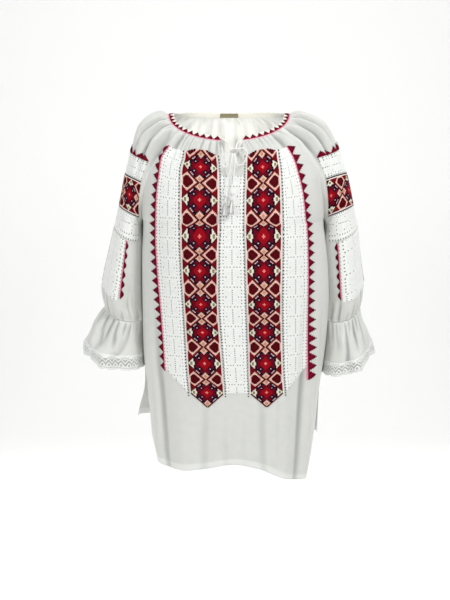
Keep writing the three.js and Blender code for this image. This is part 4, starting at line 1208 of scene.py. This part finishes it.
def add_wall(piece, thickness):
    """Thickens a sheet towards its inside."""
    wall = piece.modifiers.new("wall", "SOLIDIFY")
    wall.thickness, wall.offset = thickness, -1


def sheet_piece(grid, name, slot, nodes, material=None, doubled_and_lit=None, skip=None, thickness=VOILE):
    points, sign = grid["points"], grid["sign"]
    rows, columns = points.shape[:2]
    across, _, down, _ = edge_distance(grid)
    across = across - across[:, columns // 2][:, None]
    index = np.arange(rows * columns).reshape(rows, columns)
    quads = np.stack([index[:-1, :-1], index[:-1, 1:], index[1:, 1:], index[1:, :-1]], -1)
    if skip is not None:
        quads = quads[~skip]
    quads = quads.reshape(-1, 4)
    if sign < 0:
        quads = quads[:, ::-1]
    mesh = bpy.data.meshes.new(name)
    mesh.from_pydata((points.reshape(-1, 3) * MM).tolist(), [], quads.tolist())
    uv = mesh.uv_layers.new(name="UVMap")
    lengths = np.stack([across, down], -1).reshape(-1, 2) * MM
    corners = np.zeros(len(mesh.loops), int)
    mesh.loops.foreach_get("vertex_index", corners)
    uv.data.foreach_set("uv", lengths[corners].ravel())
    doubled_and_lit = np.zeros((rows, columns)) if doubled_and_lit is None else doubled_and_lit
    shade = troughs(grid) * (1 - 0.7 * nape_painted_light(grid))
    for label, values in (("doubled_and_lit", doubled_and_lit), ("shade", shade)):
        written = mesh.attributes.new(label, "FLOAT", "POINT")
        written.data.foreach_set("value", values.ravel().astype(np.float32))
    shape = bmesh.new()
    shape.from_mesh(mesh)
    bmesh.ops.remove_doubles(shape, verts=shape.verts, dist=0.00003)
    loose = [v for v in shape.verts if not v.link_faces]
    bmesh.ops.delete(shape, geom=loose, context="VERTS")
    shape.to_mesh(mesh)
    shape.free()
    mesh.materials.append(material or voile)
    piece = add_object(name, mesh)
    add_wall(piece, thickness)
    dress(piece, slot, *nodes)
    print(name, "faces:", len(mesh.polygons))
    return piece


def close_tube(grid, from_level):
    """Brings the two end columns of a tube together below a level."""
    closed = grid["levels"] >= from_level - 0.001
    for key in ("points", "normals"):
        middle = (grid[key][closed, 0] + grid[key][closed, -1]) / 2
        grid[key][closed, 0] = grid[key][closed, -1] = unit(middle) if key == "normals" else middle


def doubled(distance, width, soft=0.8):
    """1 inside a hem or seam allowance of a width, 0 outside it."""
    return 1 - smooth(distance, width - soft, width + soft)


# %% Front, with its slit and hem
HEM_TURN, RAGLAN_TURN, SIDE_TURN = 11.0, 2.2, 4.0
from_right, from_left, _, from_hem = edge_distance(front_grid)
slit_gap = np.abs(np.arange(front_grid["points"].shape[1]) - (SPLIT - 0.5))[None, :] * STEP
by_slit = doubled(slit_gap, 5.0) * (front_levels <= SLIT_END + 0.1)[:, None]
sides = np.minimum(from_right, from_left)
turn_in = np.where((front_levels <= ARMPIT)[:, None], RAGLAN_TURN, SIDE_TURN)
front_dense = np.maximum.reduce([doubled(from_hem, HEM_TURN) * 0.7, doubled(sides, turn_in) * 0.45,
                                 by_slit * 0.7])
open_slit = np.zeros((len(front_levels) - 1, front_grid["points"].shape[1] - 1), bool)
open_slit[:, SPLIT - 1] = True
front = sheet_piece(front_grid, "front_cloth", "cotton", ["front"], doubled_and_lit=front_dense, skip=open_slit)

# %% Back
from_right, from_left, _, from_hem = edge_distance(back_grid)
turn_in = np.where((back_levels <= ARMPIT)[:, None], RAGLAN_TURN, SIDE_TURN)
# doubled hems and seams, with painted light at the back of the neck
back_doubled_and_lit = np.maximum.reduce([doubled(from_hem, HEM_TURN) * 0.7,
                                np.broadcast_to(0.9 * nape_painted_light(back_grid), from_hem.shape),
                                doubled(np.minimum(from_right, from_left), turn_in) * 0.45])
back = sheet_piece(back_grid, "back_cloth", "cotton", ["back"], doubled_and_lit=back_doubled_and_lit)

# %% Sleeves and ruffles
sleeve, ruffle = {}, {}
for side in SIDE:
    close_tube(sleeve_grid[side], ARMPIT)
    close_tube(ruffle_grid[side], -1)
    grid = sleeve_grid[side]
    from_front, from_back, _, from_elbow = edge_distance(grid)
    raglan = doubled(np.minimum(from_front, from_back), RAGLAN_TURN) * (grid["levels"] <= ARMPIT)[:, None]
    casing = doubled(from_elbow, 4.0) * 0.7
    sleeve[side] = sheet_piece(grid, f"sleeve_{side}_cloth", "cotton", [f"sleeve_{side}", f"forearm_{side}"],
                               doubled_and_lit=np.maximum(raglan * 0.45, casing))
    grid = dict(ruffle_grid[side])
    hem_row = grid["hem_row"]
    for key in ("points", "normals"):
        grid[key] = grid[key][:hem_row + 1]
    _, _, from_top, from_hem = edge_distance(grid)
    ruffle[side] = sheet_piece(grid, f"ruffle_{side}_cloth", "cotton", [f"ruffle_{side}"],
                               doubled_and_lit=np.maximum(doubled(from_hem, 3.0), doubled(from_top, 3.0) * 0.7))

# %% Neckband and label
neckband = sheet_piece(neckband_grid, "neckband_cloth", "cotton", ["neckband"], material=band_cloth,
                       thickness=0.0012)
LABEL_WIDTH, LABEL_HEIGHT, LABEL_LIFT = 36.0, 9.0, 1.9
middle_back = RING_STOPS[int(np.argmin(np.hypot(foot[:, 0] - 0.5, foot[:, 1] - 75)))]
rows = []
for part in np.linspace(0.06, 0.06 + LABEL_HEIGHT / NECKBAND_WIDTH, 7):
    places = middle_back + np.linspace(-LABEL_WIDTH / 2, LABEL_WIDTH / 2, 25)
    point, normal = on_neckband(part, places)
    rows.append(point - normal * LABEL_LIFT)
label_grid = make_grid("label", np.linspace(0, 1, 7), np.array(rows), -neckband_grid["sign"])
label_piece = sheet_piece(label_grid, "label_tape", "label", ["label"], material=label_tape, thickness=0.0005)


# %% [markdown]
# ## Cross stitch
# Counted stitch is laid on the threads of the cloth: every stitch is a small cross in a cell of
# a square grid, and a chart says which colour goes where. The chart here is one quarter of a
# flower in a lattice; the rest is its mirror image. A cell's place on the cloth comes from the
# piece's grid, so the bands bend, widen and fold with it. One tree lays all the crosses: a flat
# pad of thread with two bars over it, turned and sized by attributes stored on its points.

# %% A tree that lays stitches
lay_stitches, given, way_out = new_tree("lay stitches", [
    ("Crossed", "Bool", True), ("Thickness", "Float", 0.0006), ("Bar width", "Float", 0.24),
    ("Bar length", "Float", 0.72), ("Finish", "Material", None)])
reads = {}
for label in ("out", "run", "cell"):
    reads[label] = add_node(lay_stitches, "GeometryNodeInputNamedAttribute",
                            data_type="FLOAT_VECTOR", Name=label)
frame_turn = add_node(lay_stitches, "FunctionNodeAxesToRotation",
                      {"Primary Axis": reads["out"].outputs[0], "Secondary Axis": reads["run"].outputs[0]},
                      primary_axis="Z", secondary_axis="X")
bar = add_node(lay_stitches, "GeometryNodeMeshCone", Vertices=4, fill_type="NONE")
set_inputs(bar, {"Radius Top": 0.0, "Radius Bottom": 1.0, "Depth": 1.0})
shape = add_node(lay_stitches, "ShaderNodeCombineXYZ",
                 {"X": given["Bar length"], "Y": given["Bar width"]}, Z=1.0)
crossed = add_node(lay_stitches, "GeometryNodeJoinGeometry")
for quarter, lift in ((math.pi / 4, 0.0), (-math.pi / 4, 0.35)):
    arm = add_node(lay_stitches, "GeometryNodeTransform",
                   {"Geometry": bar.outputs["Mesh"], "Scale": shape.outputs[0]},
                   Rotation=(0, 0, quarter), Translation=(0, 0, lift))
    lay_stitches.links.new(arm.outputs[0], crossed.inputs[0])
pad = add_node(lay_stitches, "GeometryNodeMeshGrid")
set_inputs(pad, {"Size X": 1.1, "Size Y": 1.1, "Vertices X": 2, "Vertices Y": 2})
lay_stitches.links.new(pad.outputs["Mesh"], crossed.inputs[0])
single = add_node(lay_stitches, "GeometryNodeTransform",
                  {"Geometry": bar.outputs["Mesh"], "Scale": shape.outputs[0]})
pick = add_node(lay_stitches, "GeometryNodeSwitch", {"Switch": given["Crossed"], "False": single.outputs[0],
                                                     "True": crossed.outputs[0]}, input_type="GEOMETRY")
lifted = add_node(lay_stitches, "ShaderNodeCombineXYZ", {"Z": given["Thickness"]}, X=1.0, Y=1.0)
scale = add_node(lay_stitches, "ShaderNodeVectorMath", {0: reads["cell"].outputs[0], 1: lifted.outputs[0]},
                 operation="MULTIPLY")
laid = add_node(lay_stitches, "GeometryNodeInstanceOnPoints",
                {"Points": given["Geometry"], "Instance": pick.outputs[0], "Rotation": frame_turn.outputs[0],
                 "Scale": scale.outputs[0]})
finish_tree(lay_stitches, laid.outputs[0], given["Finish"], way_out)


def stitches(name, places, lift=0.75, crossed=True, finish=None, thickness=0.0005, width=0.24, length=0.72):
    """Stitches at (point, normal, across, along, colour) arrays, in millimetres, as a plain object."""
    point, normal, across, along_way, colour = places
    mesh = bpy.data.meshes.new(name)
    mesh.from_pydata(((point + normal * lift) * MM).tolist(), [], [])
    size = np.stack([np.linalg.norm(across, axis=-1), np.linalg.norm(along_way, axis=-1)], -1) * MM
    cell = np.concatenate([size, np.ones((len(size), 1))], -1)
    for label, values in (("out", normal), ("run", across), ("cell", cell)):
        written = mesh.attributes.new(label, "FLOAT_VECTOR", "POINT")
        written.data.foreach_set("vector", values.astype(np.float32).ravel())
    thread = mesh.attributes.new("thread", "FLOAT_COLOR", "POINT")
    thread.data.foreach_set("color", colour.astype(np.float32).ravel())
    piece = grow(name, mesh, lay_stitches, {"Crossed": crossed, "Thickness": thickness, "Bar width": width,
                                            "Bar length": length, "Finish": finish or floss})
    for label in ("out", "run", "cell"):
        piece.data.attributes.remove(piece.data.attributes[label])
    return piece


def cells(place, rows, columns, colours):
    """Everything a stitch needs, for cells at rows and columns of a chart that place() lays out."""
    rows, columns = np.asarray(rows, float), np.asarray(columns, float)
    point, normal = place(rows, columns)
    across = place(rows, columns + 0.5)[0] - place(rows, columns - 0.5)[0]
    along_way = place(rows + 0.5, columns)[0] - place(rows - 0.5, columns)[0]
    return point, normal, across, along_way, np.array(colours, float)


def part_across(column, half):
    """Where the middle of a chart's column lies across its band, from 0 to 1."""
    return (np.asarray(column) + half + 0.5) / (2 * half + 1)


# %% The chart: a quarter of the flower and its lattice
# rows run down from the middle of a flower, columns outwards from the middle of the band
QUARTER = """
PPRRRRCCNNWWOOWWE
PRRRRRCCCNWWOOWBE
RRRRRCCCCNNWWWBBE
RRRRCNCCCNNWWBBTE
RRRCNNNCCNNWBBTTE
RRCNNLNNNNNBBTTTE
RCCCNNNNNNBBTTTTE
CCCCCNNNLBBTTTTTE
NCCCCNNLBBTHTTTTE
HNCCNNLBBTHHHTTTE
HHNNNNBBTHHHHHTTE
GHHNNBBTHHMMMHHTE
GGHHBBTHHMMMMMHHE
GGHBBTHHMMMMMMMHE
GHBBTHHMMMMMMMMHE
HBBTHHMMMMMMMMMHE
BBTHHHMMMMTMMMMHE
""".split()
DYES = {
    "B": "#5e120b", "N": "#200a22", "R": "#a80b1d", "C": "#74061c", "M": "#5a0511", "T": "#800b1a",
    "P": "#ff8f8f", "L": "#ecd8e2", "W": "#f6efe2", "O": "#98925a", "H": "#f8cfc0", "G": "#d69a78",
    "E": "#fff3ef", "D": "#080606",
}
DYE = {key: np.array(linear(value)) for key, value in DYES.items()}
PERIOD, HALF_BAND = 32, 16
rng = np.random.default_rng(17)


def chart_thread(row, column):
    phase = abs(((row + PERIOD // 2) % PERIOD) - PERIOD // 2)
    return QUARTER[phase][abs(column)]


def dyed(keys, spread=0.06):
    """Thread colours, each a little lighter or darker than its dye, as hand-dyed cotton is."""
    colours = np.array([DYE[key] for key in keys])
    colours[:, :3] *= rng.uniform(1 - spread, 1 + spread, (len(keys), 1))
    return colours


# %% Two bands down the front
# rows of the chart against levels of the cut; the flowers aren't quite evenly spaced
BAND_ROWS = table("row level", [[-19, 0.92], [-17, 1.06], [0, 2.406], [32, 5.18], [64, 8.347], [96, 9.633],
                                [128, 10.816], [160, 11.772], [192, 12.732], [224, 13.964], [243, 14.56]])
FIRST_ROW, LAST_ROW, POINT_FROM = -17, 240, 224
front_bands = {}
for side, outer, inner in (("right", "outerR", "innerR"), ("left", "outerL", "innerL")):
    def place(row, column, outer=outer, inner=inner):
        level = along(BAND_ROWS, "level", row, "row")
        from_x, to_x = along(LINES, outer, level), along(LINES, inner, level)
        return on_front(level, from_x + (to_x - from_x) * part_across(column, HALF_BAND))

    rows, columns, keys = [], [], []
    for row in range(FIRST_ROW, LAST_ROW + 1):
        for column in range(-HALF_BAND, HALF_BAND + 1):
            arched = row >= FIRST_ROW + 5 * (abs(column) / HALF_BAND) ** 2
            pointed = row <= POINT_FROM or abs(column) + row - POINT_FROM <= HALF_BAND + 1
            if arched and pointed:
                rows.append(row)
                columns.append(column)
                keys.append(chart_thread(row, column))
    edge = [(row, column) for row in np.arange(FIRST_ROW + 5, POINT_FROM + 7, 3)
            for column in (-HALF_BAND - 1.9, HALF_BAND + 1.9)]
    dots = list(cells(place, *zip(*edge), dyed("D" * len(edge))))
    dots[3] *= 1.2  # the black stitches beside the band are longer than the counted ones
    every = [np.concatenate(pair) for pair in zip(cells(place, rows, columns, dyed(keys)), dots)]
    name = f"front_colour_band_{side}"
    front_bands[side] = stitches(f"{name}_stitches", every)
    dress(front_bands[side], "embroidery", name)
    print(name, "stitches:", len(rows))

# %% A band round each sleeve
sleeve_pieces = {side: [] for side in SIDE}
SLEEVE_BAND = {"right": (0.57, 96), "left": (0.80, 104)}  # turn of a flower's middle, rows round
BAND_TOP, BAND_END = 4.8, 7.0  # levels
BAND_REACH = 0.875  # turns that a band runs each way from the outer ridge of the sleeve
sleeve_bands = {}
for side, (flower_turn, around) in SLEEVE_BAND.items():
    per_turn = around / (2 * BAND_REACH)

    def place(row, column, side=side, flower_turn=flower_turn, per_turn=per_turn):
        level = BAND_TOP + (BAND_END - BAND_TOP) * part_across(column, HALF_BAND)
        return on_sleeve(side, level, flower_turn - np.asarray(row) / per_turn)

    rows, columns, keys = [], [], []
    for row in range(-int((BAND_REACH - flower_turn) * per_turn),
                     int((BAND_REACH + flower_turn) * per_turn)):
        for column in range(-HALF_BAND - 1, HALF_BAND + 2):
            rows.append(row)
            columns.append(column)
            keys.append(chart_thread(row, column) if abs(column) <= HALF_BAND else "D")
    name = f"sleeve_{side}_colour_band"
    sleeve_bands[side] = stitches(f"{name}_stitches", cells(place, rows, columns, dyed(keys)))
    sleeve_pieces[side].append(dress(sleeve_bands[side], "embroidery", name))
    print(name, "stitches:", len(rows))

# %% [markdown]
# ## Zigzag edges
# A row of maroon triangles edges the outer white bands, the tops of the sleeve bands, the
# strips down the sleeves and the neckband. They are counted stitch too: rows of 9, 7, 5, 3 and
# 1 crosses make a tooth, without the last on the strips. A line of pink runs along the straight
# side, except at the tops of the sleeves and on the strips' outer edges.

# %% Teeth
DYE["V"], DYE["Q"], DYE["X"] = (np.array(linear(h)) for h in ("#86082a", "#f59fb6", "#5a051d"))
TOOTH = 9


def teeth(count, depth=5, line=True, line_at=-1.0):
    """Rows out, cells along and dyes of a row of teeth, with a line of pink at its foot."""
    out, at, keys = [], [], []
    for tooth in range(count):
        for step in range(depth):
            half = (TOOTH / 2) * (1 - step / depth)
            for k in range(TOOTH):
                if abs(k - (TOOTH - 1) / 2) < half:
                    out.append(step)
                    at.append(tooth * TOOTH + k)
                    keys.append("X" if step >= depth - 2 or (k + step) % 4 == 3 else "V")
    if line:
        out += [line_at] * (count * TOOTH)
        at += range(count * TOOTH)
        keys += ["Q"] * (count * TOOTH)
    return np.array(out, float), np.array(at, float), keys


def evenly_down(values, line, count):
    """A value for each cell boundary, evenly spaced along a line of points."""
    lengths = run_length(line)
    return lambda cell: np.interp(np.asarray(cell) / count * lengths[-1], lengths, values)


def zigzag(name, place, toothed):
    """A trim of teeth, stitched, in place of its CAD node."""
    out, at, keys = toothed
    return dress(stitches(f"{name}_stitches", cells(place, at, out, dyed(keys))), "maroon_trim", name)


zigzags = {}
TEETH_DOWN = {"right": 24, "left": 25}
TOOTH_PITCH = 17.5
for side, trim, tip in (("right", "trimR", "tipR"), ("left", "trimL", "tipL")):
    levels = np.linspace(1.4, 14.4, 900)
    line = on_front(levels, along(LINES, trim, levels))[0]
    keep = run_length(line) <= TEETH_DOWN[side] * TOOTH_PITCH
    level_at = evenly_down(levels[keep], line[keep], TEETH_DOWN[side] * TOOTH)

    def place(row, column, trim=trim, tip=tip, level_at=level_at):
        level = level_at(np.asarray(row) + 0.5)
        base, end = along(LINES, trim, level), along(LINES, tip, level)
        reach = np.maximum(np.abs(end - base), 8.0) * np.sign(end - base)
        return on_front(level, base + reach * (np.asarray(column) + 0.5) / 5)

    zigzags[side] = zigzag(f"front_zigzag_{side}", place, teeth(TEETH_DOWN[side], line_at=-0.9))

# %% Zigzags on the sleeves
TOP_TEETH, TOP_LEVEL = 8, 3.4
STRIP_TOP, STRIP_END = 8.8, 11.8  # levels
STRIP_TEETH, STRIP_PITCH = 6, 18.0
for side in SIDE:
    turns = np.linspace(-BAND_REACH, BAND_REACH, 600)
    line = on_sleeve(side, TOP_LEVEL, turns)[0]
    turn_at = evenly_down(turns, line, TOP_TEETH * TOOTH)

    def place(row, column, side=side, turn_at=turn_at):
        level = TOP_LEVEL - 0.36 * (np.asarray(column) + 0.5) / 5
        return on_sleeve(side, level, turn_at(np.asarray(row) + 0.5))

    sleeve_pieces[side].append(zigzag(f"sleeve_{side}_top_zigzag", place, teeth(TOP_TEETH, line=False)))
    strip_end = 12 if side == "right" else 13
    for edge, column_at, reach in (("front", strip_end, 0.4), ("back", 8, -0.3)):
        turn0 = -1 + column_at / 8
        levels = np.linspace(STRIP_TOP, STRIP_END + 0.6, 500)
        line = on_sleeve(side, levels, turn0)[0]
        keep = run_length(line) <= STRIP_TEETH * STRIP_PITCH
        level_at = evenly_down(levels[keep], line[keep], STRIP_TEETH * TOOTH)

        def place(row, column, side=side, level_at=level_at, turn0=turn0, reach=reach):
            turn = turn0 + reach / 8 * (np.asarray(column) + 0.5) / 4
            return on_sleeve(side, level_at(np.asarray(row) + 0.5), turn)

        toothed = teeth(STRIP_TEETH, depth=4, line=edge == "front", line_at=-0.9)
        sleeve_pieces[side].append(zigzag(f"sleeve_{side}_{edge}_zigzag", place, toothed))

# %% Triangles round the neckband
NECK_PITCH = 13.6  # millimetres from tooth to tooth
NECK_TEETH = int(ring_places[-1] / NECK_PITCH)
NECK_LENGTH = float(ring_places[-1])


def place(row, column):
    along_ring = (np.asarray(row) + 0.5) / (NECK_TEETH * TOOTH) * NECK_LENGTH
    return on_neckband((np.asarray(column) + 1.05) / 5.6, along_ring)


out, at, keys = teeth(NECK_TEETH, depth=5, line_at=-0.95)
neck_stitches = stitches("neckband_triangles", cells(place, at, out, dyed(keys)), lift=0.35)
dress(neck_stitches, "maroon_trim")
print("neckband teeth:", NECK_TEETH, "stitches:", len(at))


# %% [markdown]
# ## Drawn-thread bands
# In the white bands threads are drawn out of the cloth and the rest are whipped together, which
# leaves lines of small square eyelets; between them lie leaves of satin stitch. The band is made
# as its grid of cells with the eyelets really open. Under each lies a dark square of painted shade,
# for the dim inside of the blouse that a hole in worn voile shows. The leaves are single bars of the
# stitch tree, slanted with each quarter.

# %% The chart: a quarter of one figure; o is an eyelet, / a slanted satin stitch
WHITE_QUARTER = """
o.....o..o..o
.............
o...//.......
../////..o..o
o../////.....
.....///.....
o........o..o
.............
.............
..o..o..o...o
""".split()
WHITE_PERIOD, WHITE_HALF = 18, 12
WHITE_CELL = 2.0  # millimetres


def white_chart(row, column):
    phase = abs(((row + WHITE_PERIOD // 2) % WHITE_PERIOD) - WHITE_PERIOD // 2)
    return WHITE_QUARTER[phase][min(abs(column), WHITE_HALF)]


# painted shade: the dark squares under the eyelets stand for the dim inside of the blouse
eyelet_shade = plain_cotton("painted shade under an eyelet", "#343633", "#464845", 400, 0.9, 0.1)
EYELET = 0.94  # of a cell: the whipped threads round it take the rest


def turn_down(shape, depth=0.0006):
    """Walls from the edges of a band and of its eyelets down to the cloth it lies on."""
    shape.normal_update()
    rims = [e for e in shape.edges if e.is_boundary and e.link_faces[0].material_index == 0]
    made = bmesh.ops.extrude_edge_only(shape, edges=rims)["geom"]
    for v in [item for item in made if isinstance(item, bmesh.types.BMVert)]:
        top = min(v.link_edges, key=lambda e: e.calc_length()).other_vert(v)
        v.co = top.co - top.normal * depth


def white_work(name, place, rows, half, node, keep=None, chart=white_chart, lift=0.8, under=None, free=False):
    """A band of cells with open eyelets and satin leaves. place(row, column) lays the chart."""
    columns = np.arange(-half, half + 1)
    row_edges, column_edges = np.arange(rows + 1) - 0.5, np.arange(-half, half + 2) - 0.5
    row_grid, column_grid = np.meshgrid(row_edges, column_edges, indexing="ij")
    point, normal = place(row_grid, column_grid)
    verts = ((point + normal * lift) * MM).reshape(-1, 3).tolist()
    faces, marks, wide = [], [], len(column_edges)
    leaves, holes = [], []
    for row in range(rows):
        for j, column in enumerate(columns):
            if keep is not None and not keep(row, column):
                continue
            mark = chart(row, column)
            if mark == "o":
                holes.append((row, column))
            elif mark != " ":
                a = row * wide + j
                faces.append((a, a + 1, a + wide + 1, a + wide))
                marks.append(0)
                if mark == "/":
                    leaves.append((row, column))
    if holes:
        at = np.array(holes, float)

        def corners(size, height):
            """The four corners of a square of that share of its cell, for every eyelet."""
            turns = ((-0.5, -0.5), (-0.5, 0.5), (0.5, 0.5), (0.5, -0.5))
            return [p + n * height for p, n in
                    (place(at[:, 0] + dr * size, at[:, 1] + dc * size) for dr, dc in turns)]

        rim = np.stack(corners(1.0, lift) + corners(EYELET, lift), 1)
        start = len(verts)
        verts += (rim.reshape(-1, 3) * MM).tolist()
        for first in range(start, start + 8 * len(at), 8):
            for c in range(4):
                after = (c + 1) % 4
                faces.append((first + c, first + after, first + 4 + after, first + 4 + c))
            marks += [0] * 4
        # squares under the holes: painted shade under eyelets, a partly painted grey ground under lace
        if under:
            start = len(verts)
            verts += (np.stack(corners(1.06, 0.25), 1).reshape(-1, 3) * MM).tolist()
            faces += [tuple(range(start + 4 * k, start + 4 * k + 4)) for k in range(len(at))]
            marks += [1] * len(at)
    mesh = bpy.data.meshes.new(name)
    mesh.from_pydata(verts, [], faces)
    mesh.materials.append(net)
    if under:
        mesh.materials.append(under)
    mesh.polygons.foreach_set("material_index", marks)
    # faces follow the way place() runs, so they are turned where that is inwards
    tidy = bmesh.new()
    tidy.from_mesh(mesh)
    a, b, c = place(0.0, 0.0)[0], place(0.0, 1.0)[0], place(1.0, 0.0)[0]
    if np.dot(np.cross(b - a, c - a), place(0.0, 0.0)[1]) < 0:
        bmesh.ops.reverse_faces(tidy, faces=tidy.faces)
    bmesh.ops.remove_doubles(tidy, verts=tidy.verts, dist=0.00002)
    bmesh.ops.delete(tidy, geom=[v for v in tidy.verts if not v.link_faces], context="VERTS")
    if not free:
        turn_down(tidy)
    tidy.to_mesh(mesh)
    tidy.free()
    piece = add_object(name, mesh)
    if free:
        add_wall(piece, 0.0004)
    dress(piece, "drawn_thread", node)
    leaf_piece = None
    if leaves:
        at = np.array(leaves, float)
        white = np.tile(linear("#fbfcfa"), (len(at), 1))
        point, normal, across, along_way, colour = cells(place, at[:, 0], at[:, 1], white)
        phase = ((at[:, 0] + WHITE_PERIOD / 2) % WHITE_PERIOD) - WHITE_PERIOD / 2
        slope = np.sign(phase) * np.sign(at[:, 1])
        slant = unit(across) * 0.75 + unit(along_way) * 0.66 * np.where(slope == 0, 1, slope)[:, None]
        leaf_piece = stitches(f"{name}_leaves", (point, normal, slant * 2.2, along_way, colour),
                              lift=lift + 0.05, crossed=False, finish=white_floss, thickness=0.0005,
                              width=0.5, length=0.8)
        dress(leaf_piece, "drawn_thread")
    print(name, "cells:", len(faces), "eyelets:", len(holes), "satin stitches:", len(leaves))
    return piece, leaf_piece


# %% Three bands down the front
white_pieces = []
for name, from_line, to_line, top, end in (("right", "trimR", "outerR", 1.4, (13.0, 14.0)),
                                           ("left", "outerL", "trimL", 1.4, (14.0, 13.0)),
                                           ("centre", "innerR", "innerL", 3.0, (14.0, 14.0))):
    levels = np.linspace(top, 14.0, 900)
    line = on_front(levels, (along(LINES, from_line, levels) + along(LINES, to_line, levels)) / 2)[0]
    rows = int(run_length(line)[-1] / WHITE_CELL)
    level_at = evenly_down(levels, line, rows)
    margin = 1.8 if name == "centre" else 1.4  # cloth left between this band and its neighbours

    def place(row, column, level_at=level_at, from_line=from_line, to_line=to_line, margin=margin):
        level = level_at(np.asarray(row) + 0.5)
        from_x, to_x = along(LINES, from_line, level) + margin, along(LINES, to_line, level) - margin
        if from_line == "outerL":
            from_x = from_x + 1.8
        if to_line == "outerR":
            to_x = to_x - 1.8
        if from_line == "innerR":
            from_x, to_x = from_x + 1.2, to_x - 1.2
        return on_front(level, from_x + (to_x - from_x) * part_across(column, WHITE_HALF))

    def keep(row, column, level_at=level_at, end=end):
        part = (column + WHITE_HALF) / (2 * WHITE_HALF)
        return level_at(row + 0.5) <= end[0] + (end[1] - end[0]) * part

    white_pieces.append(white_work(f"front_white_band_{name}_cloth", place, rows, WHITE_HALF,
                                   f"front_white_band_{name}", keep, under=eyelet_shade))

# %% White bands and strips on the sleeves
SLEEVE_WHITE = (("upper_white_band", 3.46, 4.68, BAND_REACH), ("lower_white_band", 7.12, 8.72, 0.75))


def squeezed(half):
    """The chart of the white bands, made to fit a band of another half width."""
    return lambda row, column: white_chart(row, int(round(abs(column) * WHITE_HALF / half)))


for side in SIDE:
    for node, top, bottom, reach in SLEEVE_WHITE:
        middle = on_sleeve(side, (top + bottom) / 2, np.linspace(-reach, reach, 300))[0]
        rows = int(run_length(middle)[-1] / WHITE_CELL)
        drop = run_length(on_sleeve(side, np.linspace(top, bottom, 60), 0.3)[0])[-1]
        half = int(drop / WHITE_CELL / 2)

        def place(row, column, side=side, top=top, bottom=bottom, reach=reach, rows=rows, half=half):
            level = top + (bottom - top) * part_across(column, half)
            return on_sleeve(side, level, reach - 2 * reach * (np.asarray(row) + 0.5) / rows)

        sleeve_pieces[side] += white_work(f"sleeve_{side}_{node}_cloth", place, rows, half,
                                          f"sleeve_{side}_{node}", chart=squeezed(half),
                                          under=eyelet_shade)
    strip_from, strip_to = 0.0, 0.5 if side == "right" else 0.625
    line = on_sleeve(side, np.linspace(STRIP_TOP, STRIP_END, 300), 0.3)[0]
    rows = int(run_length(line)[-1] / WHITE_CELL)
    width = run_length(on_sleeve(side, 10.5, np.linspace(strip_from, strip_to, 60))[0])[-1]
    half = int(width / WHITE_CELL / 2)

    def place(row, column, side=side, rows=rows, half=half, strip_from=strip_from, strip_to=strip_to):
        turn = strip_from + 0.01 + (strip_to - strip_from - 0.03) * part_across(column, half)
        level = STRIP_TOP + (STRIP_END - STRIP_TOP) * (np.asarray(row) + 0.5) / rows
        return on_sleeve(side, level, turn)

    sleeve_pieces[side] += white_work(f"sleeve_{side}_strip_cloth", place, rows, half,
                                      f"sleeve_{side}_strip", chart=squeezed(half),
                                      under=eyelet_shade)

# %% [markdown]
# ## Lace
# The ruffle ends in a bobbin lace edging 26 mm deep: a clothwork head with groups of small
# dashes, open mesh with leaves under it, and a scalloped edge. It is the same kind of chart,
# with finer cells that are cut away where the lace is open, over a plain grey ground
# that stands for a mesh too fine to draw; the grey is partly painted shade, seen through that mesh.

# %% Lace on the ruffles: half of one scallop, from its lowest point outwards
LACE_HALF = """
.........
.........
oo.oo....
.........
..o.o.oo.
.oo....oo
oo..oo..o
o..oooo..
..oo..oo.
.oo....oo
oo..oo..o
o...oo..o
.........
.o.o.o.o#
........#
......###
""".split()
LACE_PERIOD = 16
# between the motifs runs a mesh finer than can be drawn; its soft grey is partly painted shade seen through
# it
lace_ground_and_shade = plain_cotton("fine lace ground with painted shade", "#a3a5a1", "#b7b9b5", 500, 0.9, 0.2)


def lace_chart(row, column):
    phase = abs(((column + LACE_PERIOD // 2) % LACE_PERIOD) - LACE_PERIOD // 2)
    mark = LACE_HALF[min(row, len(LACE_HALF) - 1)][phase]
    return "o" if mark == "o" else (" " if mark == "#" else ".")


lace = {}
for side in SIDE:
    hem = ruffle_grid[side]["points"][ruffle_grid[side]["hem_row"]]
    count = int(run_length(hem)[-1] / 1.6) // LACE_PERIOD * LACE_PERIOD
    turn_at = evenly_down(ruffle_grid[side]["turns"], hem, count)

    def place(row, column, side=side, turn_at=turn_at, count=count):
        level = 0.985 + 0.262 * (np.asarray(row) + 0.5) / len(LACE_HALF)
        return on_ruffle(side, level, turn_at(np.clip(np.asarray(column) + count // 2, 0, count)))

    lace[side], _ = white_work(f"ruffle_lace_{side}_net", place, len(LACE_HALF), count // 2,
                               f"ruffle_lace_{side}", chart=lace_chart, lift=0.6,
                               keep=lambda row, column, count=count: column < count // 2,
                               under=lace_ground_and_shade, free=True)


# %% [markdown]
# ## The boxes
# The box of the imported part and the box of the finished scene are printed. A real cut has seam
# allowances too.


on_front_pieces = [p for pair in white_pieces[:3] for p in pair if p]
on_front_pieces += [*front_bands.values(), *zigzags.values()]
for side in SIDE:
    hem_row = ruffle_grid[side]["hem_row"]

# %% Sizes
size = {"cad_box": [list(c) for c in CAD_BOX], "visual_box": [list(c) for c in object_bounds()]}
print(size)
